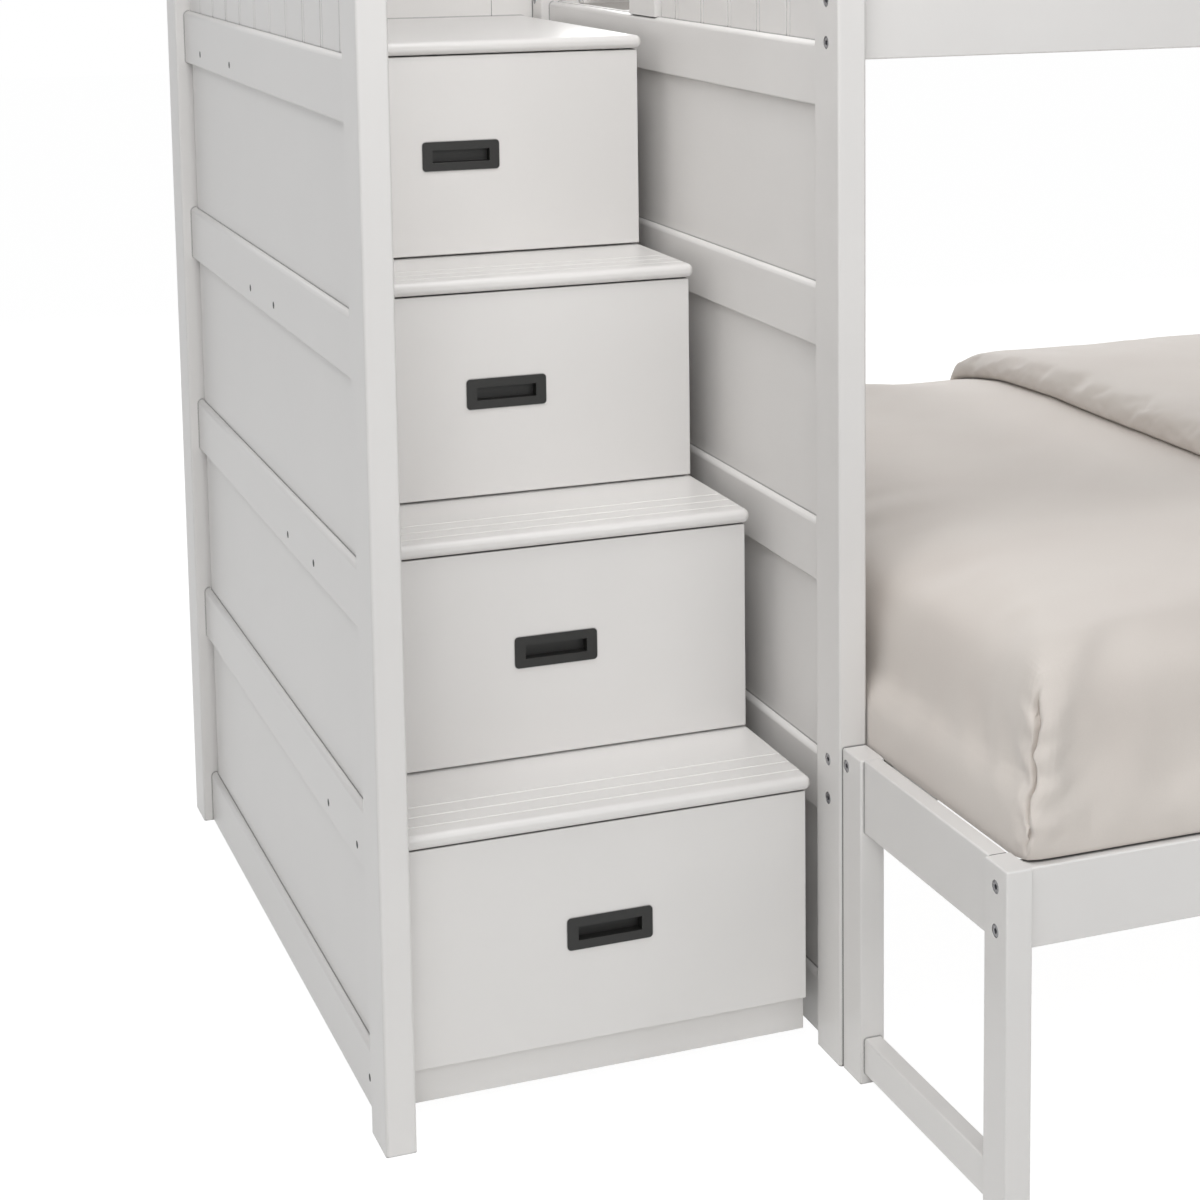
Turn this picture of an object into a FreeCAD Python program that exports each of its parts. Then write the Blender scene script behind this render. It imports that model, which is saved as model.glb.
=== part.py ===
import FreeCAD, Part
import Sketcher
import os
import re

# Bunk bed with storage stairs: a twin bunk over a full bed whose front stands out on two low leg
# frames, and a stair tower with four drawers at its head end. +X runs along the bed away from the
# stairs, +Y to the wall, +Z up. The origin lies on the floor under the middle of the whole bed.

doc = FreeCAD.newDocument("bunk_bed")
size = doc.addObject("Spreadsheet::Sheet", "size")

# Driving dimensions in millimetres.
SIZES = {
    # frame
    "post_thick": 32, "post_depth": 62, "post_height": 1660, "post_round": 3,
    "bunk_depth": 1072, "stair_width": 503, "extension_reach": 375,
    "mattress_length": 1905, "mattress_width": 1372, "mattress_height": 190, "mattress_gap": 8,
    "mattress_lap": 3.5,
    "mattress_round": 30, "seat_gap": 0.3,
    # end panels: five rails between two posts, flat panels between them, beaded board on top
    "rail_tall": 68, "rail_thick": 20, "rail_pitch": 260.5, "rail_round": 6, "rail_ease": 2,
    "rail_count": 5, "top_rail_tall": 90, "top_rail_drop": 12,
    "panel_thick": 6, "panel_recess": 7, "panel_tongue": 8, "panel_gap": 9, "fit_gap": 0.2,
    "bead_pitch": 87, "bead_pair": 10, "bead_wide": 3, "bead_deep": 2, "bead_edge": 60,
    "bead_count": 10, "short_bead_count": 6,
    "entry_wide": 332, "stile_wide": 93, "stile_thick": 20,
    # long rails, slats and guards
    "side_rail_tall": 80, "side_rail_thick": 25, "upper_rail_base": 1094, "lower_rail_base": 276,
    "ledger_side": 20, "slat_wide": 70, "slat_thick": 14, "slat_count": 13, "slat_margin": 30,
    "guard_tall": 70, "guard_thick": 18, "guard_space": 85, "guard_stile_wide": 45,
    "guard_stile_count": 4, "guard_stile_margin": 120, "guard_stile_lap": 33,
    "upper_slat_drop": 34,
    # leg frames of the extension
    "leg_thick": 28, "leg_depth": 46, "leg_over": 4, "leg_shift": 3.5,
    "end_rail_tall": 80, "end_rail_thick": 20, "end_rail_inset": 4.5,
    "stretcher_tall": 40, "stretcher_base": 11,
    # stairs
    "first_front": 55, "going": 172, "rise": 257.5, "tread_base": 298, "tread_thick": 16,
    "top_tread_lift": 3, "nose_out": 5, "tread_out": 5, "tread_depth": 310, "nose_round": 7,
    "tread_groove_wide": 3, "tread_groove_deep": 1.2, "tread_groove_pitch": 28,
    "tread_groove_start": 24, "tread_groove_count": 3,
    "side_board_thick": 15, "base_clear": 15, "board_gap": 0.5,
    "cleat_tall": 30, "cleat_thick": 20, "cleat_end": 18,
    "back_board_thick": 16, "back_board_rear": 6, "back_joint": 60, "back_height": 1560,
    "plinth_thick": 18, "plinth_tall": 58,
    # drawers
    "front_thick": 18, "front_side_gap": 2, "front_right_gap": 16, "front_over": 4,
    "front_low_gap": 2.5, "front_top_gap": 1.5, "front_ease": 1.5,
    "box_back_gap": 21, "box_wall": 15, "box_tall": 170, "box_lift": 20, "box_floor": 6,
    "box_floor_lift": 10, "box_clear": 1.5,
    "runner_tall": 14, "runner_deep": 7, "runner_lift": 80, "slide_gap": 0.4,
    # recessed pulls
    "pull_long": 95, "pull_tall": 35, "pull_flange": 1.5, "pull_corner": 4, "pull_lift": 1,
    "cup_long": 71, "cup_tall": 15, "cup_deep": 13, "cup_wall": 2,
    # bolts and barrel nuts
    "bolt_head": 13, "bolt_head_tall": 5, "bolt_shank": 6, "bolt_length": 62, "bolt_sink": 5.5,
    "bolt_pitch": 43.6, "bolt_hole_gap": 0.5, "nut_wide": 10, "nut_long": 16, "nut_back": 34,
    "leg_bolt_back": 10, "leg_bolt_drop": 17,
    # brackets, screws and the folded quilt
    "bracket_thick": 2.5, "bracket_tall": 24, "bracket_long": 26, "bracket_lap": 26,
    "screw_head": 8, "screw_head_tall": 2, "screw_shank": 4, "screw_long": 46, "screw_lift": 17.5,
    "screw_near": 89, "screw_far": 222, "top_screw_near": 136, "top_screw_far": 331,
    "base_screw": 61, "base_screw_lift": 31.6, "base_screw_long": 30,
    "quilt_start": 590, "quilt_long": 560, "quilt_tall": 30, "quilt_margin": 24, "quilt_round": 12,
}
for row, (alias, number) in enumerate(SIZES.items(), start=1):
    size.set(f"A{row}", alias)
    size.set(f"B{row}", str(number))
    size.setAlias(f"B{row}", alias)
doc.recompute()

STEPS = range(4)
TOP_STEP = 3

# Places worked out from the driving dimensions. A place may use another place.
PLACES = {
    "inner_length": "mattress_length + 2 * mattress_gap",
    "left": "-(stair_width + 2 * post_thick + inner_length) / 2",
    "front": "-(bunk_depth - extension_reach) / 2",
    "rear": "front + bunk_depth",
    "head": "left + stair_width",
    "head_inner": "head + post_thick",
    "foot_inner": "head_inner + inner_length",
    "foot": "foot_inner + post_thick",
    "rail_length": "bunk_depth - 2 * post_depth",
    "rail_start": "front + post_depth",
    "rail_face": "post_thick - rail_thick",
    "top_rail_base": "post_height - top_rail_drop - top_rail_tall",
    "top_of_rails": "(rail_count - 1) * rail_pitch + rail_tall",
    "panel_face": "rail_face + panel_recess",
    "rail_middle": "(post_depth - side_rail_thick) / 2",
    "front_rail_y": "front + rail_middle",
    "rear_rail_y": "rear - rail_middle - side_rail_thick",
    "extension_front": "front - extension_reach",
    "extension_rail_y": "extension_front + (leg_depth - side_rail_thick) / 2",
    "bed_top": "lower_rail_base + side_rail_tall",
    "upper_rail_top": "upper_rail_base + side_rail_tall",
    "upper_slat_top": "upper_rail_top - upper_slat_drop",
    "leg_height": "bed_top + leg_over",
    "leg_inner": "leg_shift + leg_thick",
    "stair_start": "front + first_front",
    "front_left_x": "left + post_thick + front_side_gap",
    "front_right_x": "head - front_right_gap",
    "board_left": "left + post_thick",
    "board_right": "front_right_x + front_over",
    "back_face": "rear - back_board_rear - back_board_thick",
    "top_step_back": f"{TOP_STEP} * going + front_thick",
    "box_depth": "back_face - stair_start - top_step_back - box_back_gap",
    "box_left": "board_left + side_board_thick + box_clear",
    "box_right": "board_right - side_board_thick - box_clear",
    "front_tall": "rise - tread_thick - front_low_gap - front_top_gap",
    "first_base": "tread_base + tread_thick + front_low_gap - rise",
    "pull_x": "(front_left_x + front_right_x) / 2",
    "pull_z": "front_tall / 2 + pull_lift",
}


def bound(text):
    """The text as an expression of the sheet: places are opened out, sizes read by alias."""
    def swap(found):
        word = found.group()
        if word in PLACES:
            return "(" + bound(PLACES[word]) + ")"
        return "size." + word if word in SIZES else word
    return re.sub(r"[a-z][a-z0-9_]*", swap, text)


def place(piece, x, y, z):
    for axis, text in zip("xyz", (x, y, z)):
        piece.setExpression("Placement.Base." + axis, bound(text))


def slab(name, base, extent):
    """A plain board from its low corner and its extent along X, Y and Z."""
    box = doc.addObject("Part::Box", name)
    for side, text in zip(("Length", "Width", "Height"), extent):
        box.setExpression(side, bound(text))
    place(box, *base)
    return box


def rod(name, base, axis, radius, length):
    """A round bar that starts at base and runs along the X, Y or Z axis."""
    bar = doc.addObject("Part::Cylinder", name)
    bar.setExpression("Radius", bound(radius))
    bar.setExpression("Height", bound(length))
    towards = {"X": FreeCAD.Vector(1, 0, 0), "Y": FreeCAD.Vector(0, 1, 0), "Z": FreeCAD.Vector(0, 0, 1)}
    bar.Placement = FreeCAD.Placement(FreeCAD.Vector(), FreeCAD.Rotation(FreeCAD.Vector(0, 0, 1), towards[axis]))
    place(bar, *base)
    return bar


def group(name, pieces):
    """Several separate solids that make one node."""
    bundle = doc.addObject("Part::Compound", name)
    bundle.Links = pieces
    return bundle


def cut(name, base, tools):
    tool = tools[0] if len(tools) == 1 else group(name + "_tools", tools)
    result = doc.addObject("Part::Cut", name)
    result.Base = base
    result.Tool = tool
    return result


def runs_along(edge, axis):
    way = edge.tangentAt(edge.FirstParameter)
    return edge.Curve.TypeId == "Part::GeomLine" and abs(abs(way[axis]) - 1) < 1e-6


def ease(name, base, radius, pick):
    """Rounds the picked edges. The radius is a size, or a number worked out from sizes."""
    doc.recompute()
    shape = base.Shape
    amount = float(size.get(radius)) if isinstance(radius, str) else radius
    chosen = [i for i, edge in enumerate(shape.Edges, start=1) if pick(edge, shape.BoundBox)]
    result = doc.addObject("Part::Fillet", name)
    result.Base = base
    result.Edges = [(i, amount, amount) for i in chosen]
    return result


NODES = []


def keep(label, piece):
    """Marks a finished sub-part: its label names its node and its file."""
    piece.Label = label
    NODES.append(piece)
    return piece


def upright(edge, box):
    return runs_along(edge, 2)


# Screws that hold the stairs to the outer end panel ---------------------------------------------


def screw_places():
    """Where each screw goes: under every tread near both ends of its cleat, and one by the plinth."""
    places = [("stair_start + base_screw", "base_screw_lift")]
    for step in STEPS:
        near, far = ("top_screw_near", "top_screw_far") if step == TOP_STEP else ("screw_near", "screw_far")
        for along in (near, far):
            places.append((f"stair_start + {step} * going + {along}", f"{step + 1} * rail_pitch + screw_lift"))
    return places


def screw_bores(name, x, length):
    return [rod(f"{name}_screw_hole{number}", (x, y, z), "X", "screw_shank / 2 + fit_gap", length)
            for number, (y, z) in enumerate(screw_places())]


# End panels --------------------------------------------------------------------------------

def bolt_pairs(rail_base):
    """Heights of the two bolts that hold one long rail."""
    middle = f"{rail_base} + side_rail_tall / 2"
    return [f"{middle} - bolt_pitch / 2", f"{middle} + bolt_pitch / 2"]


def bolt_bore(name, outer, inward, y, z):
    """Shank hole and head pocket in a post: outer is its outer face, inward +1 or -1 along X."""
    start = outer if inward > 0 else f"{outer} - post_thick"
    pocket = outer if inward > 0 else f"{outer} - bolt_sink"
    hole = rod(name + "_hole", (start, y, z), "X", "(bolt_shank + bolt_hole_gap) / 2", "post_thick")
    sink = rod(name + "_sink", (pocket, y, z), "X", "(bolt_head + bolt_hole_gap) / 2", "bolt_sink")
    return [hole, sink]


def post(label, x, y, outer=None, inward=1, bolt_heights=()):
    """A post with rounded long edges and a low crown, bored where long rails are bolted on."""
    blank = slab(label + "_blank", (x, y, "0"), ("post_thick", "post_depth", "post_height"))
    piece = ease(label + "_round", blank, "post_round",
                 lambda edge, box: upright(edge, box) or edge.BoundBox.ZMin > box.ZMax - 1e-6)
    bores = []
    for number, height in enumerate(bolt_heights):
        bores += bolt_bore(f"{label}_bore{number}", outer, inward, f"{y} + post_depth / 2", height)
    if bores:
        piece = cut(label + "_bored", piece, bores)
    keep(label, piece)


def cross_rail(name, x, start, length, base, tall, grooves, outward):
    """A cross rail whose top outer edge is rounded, grooved for the panels above and below it."""
    blank = slab(name, (x, start, base), ("rail_thick", length, tall))

    def outer_edge(edge, box):
        edge_x = box.XMin if outward < 0 else box.XMax
        return runs_along(edge, 1) and abs(edge.BoundBox.XMin - edge_x) < 1e-6

    top_edge = ease(name + "_top", blank, "rail_round",
                    lambda edge, box: outer_edge(edge, box) and edge.BoundBox.ZMin > box.Center.z)
    piece = ease(name + "_round", top_edge, "rail_ease",
                 lambda edge, box: outer_edge(edge, box) and edge.BoundBox.ZMax < box.Center.z)
    groove_x = f"{x} + panel_recess" if outward < 0 else f"{x} + rail_thick - panel_recess - panel_thick"
    tools = []
    for side in grooves:
        groove_z = f"{base} + {tall} - panel_tongue - fit_gap" if side == "top" else base
        tools.append(slab(f"{name}_{side}_groove", (f"{groove_x} - fit_gap", start, groove_z),
                          ("panel_thick + 2 * fit_gap", length, "panel_tongue + fit_gap")))
    return cut(name + "_grooved", piece, tools)


def beaded_board(label, x, start, length, first_bead, count, outward):
    """A board with pairs of fine upright grooves on its outer side."""
    board_base = "top_of_rails - panel_tongue"
    board_tall = "top_rail_base - top_of_rails + 2 * panel_tongue"
    board = slab(label + "_board", (x, start, board_base), ("panel_thick", length, board_tall))
    groove_x = x if outward < 0 else f"{x} + panel_thick - bead_deep"
    grooves = []
    for number in range(int(size.get(count))):
        for side, offset in (("near", "- bead_pair / 2"), ("far", "+ bead_pair / 2")):
            middle = f"{first_bead} + {number} * bead_pitch {offset}"
            grooves.append(slab(f"{label}_{side}{number}", (groove_x, f"{middle} - bead_wide / 2", board_base),
                                ("bead_deep", "bead_wide", board_tall)))
    keep(label, cut(label + "_beaded", board, grooves))


def end_panel(label, outer, outward, top_start, top_length, beads, first_bead):
    """Rails, flat panels and beaded board between two posts. outward is the side of the outer face."""
    rail_x = f"{outer} + rail_face" if outward < 0 else f"{outer} - post_thick"
    panel_x = f"{rail_x} + panel_recess" if outward < 0 else f"{rail_x} + rail_thick - panel_recess - panel_thick"
    count = int(size.get("rail_count"))
    rails = []
    for number in range(count):
        grooves = ["top"] if number == 0 else ["top", "bottom"]
        rails.append(cross_rail(f"{label}_rail{number}", rail_x, "rail_start", "rail_length",
                                f"{number} * rail_pitch", "rail_tall", grooves, outward))
    rails.append(cross_rail(f"{label}_top_rail", rail_x, top_start, top_length,
                            "top_rail_base", "top_rail_tall", ["bottom"], outward))
    rail_set = group(label + "_rail_set", rails)
    if label == "tower":
        bores = screw_bores("tower", rail_x, "rail_thick")
        bores += [rod(f"tower_screw_sink{number}", (rail_x, y, z), "X", "screw_head / 2 + fit_gap",
                      "screw_head_tall") for number, (y, z) in enumerate(screw_places())]
        rail_set = cut("tower_rails_bored", rail_set, bores)
    keep(label + "_rails", rail_set)
    panels = []
    for number in range(count - 1):
        base = f"{number} * rail_pitch + rail_tall - panel_tongue"
        panels.append(slab(f"{label}_panel{number}", (panel_x, "rail_start + panel_gap", base),
                           ("panel_thick", "rail_length - 2 * panel_gap",
                            "rail_pitch - rail_tall + 2 * panel_tongue")))
    keep(label + "_panels", group(label + "_panel_set", panels))
    beaded_board(label + "_beadboard", panel_x, f"{top_start} + panel_gap", f"{top_length} - 2 * panel_gap",
                 first_bead, beads, outward)


rail_bolts = bolt_pairs("lower_rail_base") + bolt_pairs("upper_rail_base")
post("tower_front_post", "left", "front")
post("tower_rear_post", "left", "rear - post_depth")
post("head_front_post", "head", "front", "head", 1, rail_bolts)
post("head_rear_post", "head", "rear - post_depth", "head", 1, rail_bolts)
post("foot_front_post", "foot_inner", "front", "foot", -1, rail_bolts)
post("foot_rear_post", "foot_inner", "rear - post_depth", "foot", -1, rail_bolts)

for panel, outer_face, side in (("tower", "left", -1), ("foot", "foot", 1)):
    end_panel(panel, outer_face, side, "rail_start", "rail_length", "bead_count",
              "(front + rear - (bead_count - 1) * bead_pitch) / 2")
# The head panel stops at a stile and leaves the way from the stairs onto the bunk open.
end_panel("head", "head", -1, "rail_start", "rail_length - entry_wide - stile_wide", "short_bead_count",
          "rear - post_depth - entry_wide - stile_wide - bead_edge - (short_bead_count - 1) * bead_pitch")
stile_blank = slab("entry_stile_blank",
                   ("head + post_thick - stile_thick", "rear - post_depth - entry_wide - stile_wide",
                    "top_of_rails"),
                   ("stile_thick", "stile_wide", "post_height - top_rail_drop - top_of_rails"))
keep("entry_stile", ease("entry_stile_round", stile_blank, "rail_ease",
                         lambda edge, box: upright(edge, box) and edge.BoundBox.XMin < box.XMin + 1e-6))

# Long rails, ledgers and slats -------------------------------------------------------------


def long_rail(label, x, y, base, length, ledger_sides, slat_top):
    """A long side rail with bolt and barrel-nut bores at both ends. Its ledgers are its own width in."""
    blank = slab(label + "_blank", (x, y, base), (length, "side_rail_thick", "side_rail_tall"))
    piece = ease(label + "_round", blank, "rail_ease", lambda edge, box: runs_along(edge, 0))
    bores = []
    for number, height in enumerate(bolt_pairs(base)):
        for end, start, nut in (("near", x, f"{x} + nut_back"),
                                ("far", f"{x} + {length} - nut_back - nut_wide", f"{x} + {length} - nut_back")):
            bores.append(rod(f"{label}_{end}_bore{number}", (start, f"{y} + side_rail_thick / 2", height), "X",
                             "(bolt_shank + bolt_hole_gap) / 2", "nut_back + nut_wide"))
            bores.append(rod(f"{label}_{end}_nut{number}",
                             (nut, f"{y} + (side_rail_thick - nut_long) / 2 - seat_gap", height), "Y",
                             "nut_wide / 2 + fit_gap", "nut_long + 2 * seat_gap"))
    keep(label, cut(label + "_bored", piece, bores))
    return [slab(f"{label}_ledger_{side}",
                 (f"{x} + slat_margin", f"{y} + side_rail_thick" if side == "in" else f"{y} - ledger_side",
                  f"{slat_top} - slat_thick - ledger_side"),
                 (f"{length} - 2 * slat_margin", "ledger_side", "ledger_side")) for side in ledger_sides]


ledgers = long_rail("upper_front_rail", "head_inner", "front_rail_y", "upper_rail_base", "inner_length",
                    ["in"], "upper_slat_top")
ledgers += long_rail("upper_rear_rail", "head_inner", "rear_rail_y", "upper_rail_base", "inner_length",
                     ["out"], "upper_slat_top")
ledgers += long_rail("lower_rear_rail", "head_inner", "rear_rail_y", "lower_rail_base", "inner_length",
                     ["out"], "bed_top")
ledgers += long_rail("lower_middle_rail", "head_inner", "front_rail_y", "lower_rail_base", "inner_length",
                     ["in", "out"], "bed_top")
ledgers += long_rail("lower_front_rail", "head + leg_inner", "extension_rail_y", "lower_rail_base",
                     "inner_length + 2 * (post_thick - leg_inner)", ["in"], "bed_top")
keep("slat_ledgers", group("slat_ledger_set", ledgers))


def slats(name, start, length, top):
    """A row of slats across the bed, spread evenly between the two ends."""
    count = int(size.get("slat_count"))
    pieces = []
    for number in range(count):
        x = (f"head_inner + slat_margin + {number} * (inner_length - 2 * slat_margin - slat_wide)"
             f" / {count - 1}")
        pieces.append(slab(f"{name}{number}", (x, start, f"{top} - slat_thick"),
                           ("slat_wide", length, "slat_thick")))
    return pieces


slat_span = "rear_rail_y - front_rail_y - side_rail_thick - 2 * seat_gap"
slat_start = "front_rail_y + side_rail_thick + seat_gap"
keep("upper_slats", group("upper_slat_set", slats("upper_slat", slat_start, slat_span,
                                                 "upper_slat_top")))
extension_slats = slats("extension_slat", "extension_rail_y + side_rail_thick + seat_gap",
                        "front_rail_y - extension_rail_y - side_rail_thick - 2 * seat_gap", "bed_top")
keep("lower_slats", group("lower_slat_set", slats("lower_slat", slat_start, slat_span, "bed_top")
                          + extension_slats))

# Guard rails above both long sides of the upper bunk ----------------------------------------


def guard(label, board_y, stile_y):
    """Two boards between the posts, held by stiles that are screwed to the side rail."""
    first = "upper_rail_top + guard_space"
    pieces = []
    for number in range(2):
        board = slab(f"{label}_board{number}",
                     ("head_inner", board_y, f"{first} + {number} * (guard_tall + guard_space)"),
                     ("inner_length", "guard_thick", "guard_tall"))
        pieces.append(ease(f"{label}_board_round{number}", board, "rail_ease",
                           lambda edge, box: runs_along(edge, 0)))
    count = int(size.get("guard_stile_count"))
    for number in range(count):
        x = (f"head_inner + guard_stile_margin + {number}"
             f" * (inner_length - 2 * guard_stile_margin - guard_stile_wide) / {count - 1}")
        pieces.append(slab(f"{label}_stile{number}",
                           (x, stile_y, "upper_rail_top - guard_stile_lap"),
                           ("guard_stile_wide", "guard_thick",
                            "guard_stile_lap + 2 * (guard_tall + guard_space)")))
    return pieces


# The stiles are screwed to the inner faces of the side rail and of the boards, which share one plane.
keep("front_guard", group("front_guard_set", guard("front_guard",
                                                   "front_rail_y + side_rail_thick - guard_thick",
                                                   "front_rail_y + side_rail_thick")))
keep("rear_guard", group("rear_guard_set", guard("rear_guard", "rear_rail_y", "rear_rail_y - guard_thick")))

# Leg frames of the extension ----------------------------------------------------------------


def leg(name, x, y, bores=()):
    blank = slab(name, (x, y, "0"), ("leg_thick", "leg_depth", "leg_height"))
    piece = ease(name + "_round", blank, "rail_ease",
                 lambda edge, box: upright(edge, box) or edge.BoundBox.ZMin > box.ZMax - 1e-6)
    tools = []
    for number, (outer, inward, bore_y, z) in enumerate(bores):
        pocket = outer if inward > 0 else f"{outer} - bolt_sink"
        tools.append(rod(f"{name}_hole{number}", (x, bore_y, z), "X", "(bolt_shank + bolt_hole_gap) / 2",
                         "leg_thick"))
        tools.append(rod(f"{name}_sink{number}", (pocket, bore_y, z), "X", "(bolt_head + bolt_hole_gap) / 2",
                         "bolt_sink"))
    return cut(name + "_bored", piece, tools) if tools else piece


def frame_bar(name, x, base, tall):
    """A bar of the leg frame between the two legs."""
    bar = slab(name, (x, "extension_front + leg_depth", base),
               ("end_rail_thick", "extension_reach - 2 * leg_depth", tall))
    return ease(name + "_round", bar, "rail_ease", lambda edge, box: runs_along(edge, 1))


outer_leg_y = "extension_front + leg_depth / 2"
leg_bolt_y = "front - leg_bolt_back"
leg_bolt_z = "leg_height - leg_bolt_drop"
head_leg_x = "head + leg_shift"
foot_leg_x = "foot - leg_shift - leg_thick"
keep("head_outer_leg", leg("head_outer_leg_bar", head_leg_x, "extension_front",
                           [(head_leg_x, 1, outer_leg_y, z) for z in bolt_pairs("lower_rail_base")]))
keep("head_inner_leg", leg("head_inner_leg_bar", head_leg_x, "front - leg_depth",
                           [(head_leg_x, 1, leg_bolt_y, leg_bolt_z)]))
keep("head_end_rail", frame_bar("head_end_bar", "head + leg_shift + end_rail_inset",
                                "leg_height - end_rail_tall", "end_rail_tall"))
keep("head_stretcher", frame_bar("head_stretcher_bar", "head + leg_shift + end_rail_inset",
                                 "stretcher_base", "stretcher_tall"))
foot_bar_x = "foot - leg_shift - end_rail_inset - end_rail_thick"
foot_frame = [
    leg("foot_outer_leg_bar", foot_leg_x, "extension_front",
        [("foot - leg_shift", -1, outer_leg_y, z) for z in bolt_pairs("lower_rail_base")]),
    leg("foot_inner_leg_bar", foot_leg_x, "front - leg_depth",
        [("foot - leg_shift", -1, leg_bolt_y, leg_bolt_z)]),
    frame_bar("foot_end_bar", foot_bar_x, "leg_height - end_rail_tall", "end_rail_tall"),
    frame_bar("foot_stretcher_bar", foot_bar_x, "stretcher_base", "stretcher_tall"),
]
keep("foot_leg_frame", group("foot_leg_frame_set", foot_frame))


def bracket(name, wall, inward):
    """A steel angle that joins an inner leg to the middle rail. wall is the inner face of the post."""
    flat_x = wall if inward > 0 else f"{wall} - bracket_thick"
    lap_x = wall if inward > 0 else f"{wall} - bracket_long"
    base = "leg_height - leg_bolt_drop - bracket_tall / 2"
    lap_y = "front_rail_y - bracket_thick"
    flat = slab(name + "_flat", (flat_x, "front - bracket_lap", base),
                ("bracket_thick", "bracket_lap + rail_middle", "bracket_tall"))
    lap = slab(name + "_lap", (lap_x, lap_y, base), ("bracket_long", "bracket_thick", "bracket_tall"))
    angle = doc.addObject("Part::MultiFuse", name + "_angle")
    angle.Shapes = [flat, lap]
    hole = rod(name + "_hole", (f"{flat_x}", leg_bolt_y, leg_bolt_z), "X",
               "(bolt_shank + bolt_hole_gap) / 2", "bracket_thick")
    return cut(name, angle, [hole])


keep("extension_brackets", group("bracket_set", [bracket("head_bracket", "head_inner", 1),
                                                 bracket("foot_bracket", "foot_inner", -1)]))

# Bolts and barrel nuts ----------------------------------------------------------------------


def bolt(name, outer, inward, y, z, length):
    """A flat-headed bolt sunk in its pocket, with a hexagon socket, its shank pointing inward."""
    step = 1 if inward > 0 else -1
    head_x = f"{outer} + bolt_sink - bolt_head_tall" if step > 0 else f"{outer} - bolt_sink"
    shank_x = f"{outer} + bolt_sink" if step > 0 else f"{outer} - bolt_sink - {length}"
    head = rod(name + "_head", (head_x, y, z), "X", "bolt_head / 2", "bolt_head_tall")
    shank = rod(name + "_shank", (shank_x, y, z), "X", "bolt_shank / 2", length)
    whole = doc.addObject("Part::MultiFuse", name)
    whole.Shapes = [head, shank]
    return whole


def barrel_nut(name, x, y, z, outer, inward):
    """A round nut across the rail, bored and slotted for the bolt that reaches into it."""
    nut = rod(name + "_blank", (x, f"{y} - nut_long / 2", z), "Y", "nut_wide / 2", "nut_long")
    bore_x = f"{x} - nut_wide"
    bore = rod(name + "_bore", (bore_x, y, z), "X", "bolt_shank / 2 + fit_gap", "2 * nut_wide")
    return cut(name, nut, [bore])


fasteners = []
rail_places = {
    "upper_front": ("front_rail_y", "upper_rail_base", "0", "post_thick"),
    "upper_rear": ("rear_rail_y", "upper_rail_base", "0", "post_thick"),
    "lower_rear": ("rear_rail_y", "lower_rail_base", "0", "post_thick"),
    "lower_middle": ("front_rail_y", "lower_rail_base", "0", "post_thick"),
    "lower_front": ("extension_rail_y", "lower_rail_base", "leg_shift", "leg_inner"),
}
for rail, (rail_y, rail_base, shift, wall) in rail_places.items():
    middle_y = f"{rail_y} + side_rail_thick / 2"
    for number, height in enumerate(bolt_pairs(rail_base)):
        for end, face, inward, nut_x in (("head", f"head + {shift}", 1, f"head + {wall} + nut_back"),
                                         ("foot", f"foot - ({shift})", -1, f"foot - ({wall}) - nut_back")):
            name = f"{rail}_{end}{number}"
            fasteners.append(bolt(name + "_bolt", face, inward, middle_y, height, "bolt_length"))
            fasteners.append(barrel_nut(name + "_barrel", nut_x, middle_y, height, face, inward))
leg_shank = "leg_thick + bracket_thick - bolt_sink + bolt_shank / 2"
fasteners.append(bolt("head_leg_bolt", head_leg_x, 1, leg_bolt_y, leg_bolt_z, leg_shank))
fasteners.append(bolt("foot_leg_bolt", "foot - leg_shift", -1, leg_bolt_y, leg_bolt_z, leg_shank))
keep("bolts_and_nuts", group("fastener_set", fasteners))

# Stairs -------------------------------------------------------------------------------------

def step_front(step):
    return f"stair_start + {step} * going"


def tread_under(step):
    lift = " + top_tread_lift" if step == TOP_STEP else ""
    return f"tread_base + {step} * rise{lift}"


def tread(step):
    """A tread with a round nose and, below the top one, fine grooves across it for grip."""
    name = f"tread{step}"
    start = f"{step_front(step)} - nose_out"
    length = f"back_face - ({start})" if step == TOP_STEP else "tread_depth"
    right = "front_right_x + tread_out"
    blank = slab(name, (("board_left"), start, tread_under(step)),
                 (f"{right} - (board_left)", length, "tread_thick"))

    def nose(edge, box):
        front_edge = runs_along(edge, 0) and edge.BoundBox.YMax < box.YMin + 1e-6
        right_edge = runs_along(edge, 1) and edge.BoundBox.XMin > box.XMax - 1e-6
        corner = runs_along(edge, 2) and edge.BoundBox.XMin > box.XMax - 1e-6 and edge.BoundBox.YMax < box.YMin + 1e-6
        return front_edge or right_edge or corner

    piece = ease(name + "_round", blank, "nose_round", nose)
    if step != TOP_STEP:
        grooves = [slab(f"{name}_groove{number}",
                        ("board_left", f"{start} + tread_groove_start + {number} * tread_groove_pitch",
                         f"{tread_under(step)} + tread_thick - tread_groove_deep"),
                        (f"{right} - (board_left)", "tread_groove_wide", "tread_groove_deep"))
                   for number in range(int(size.get("tread_groove_count")))]
        piece = cut(name + "_grooved", piece, grooves)
    keep(f"tread_{step + 1}", piece)


def plane_of(body, role):
    return next(feature for feature in body.Origin.OriginFeatures if feature.Role == role)


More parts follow.
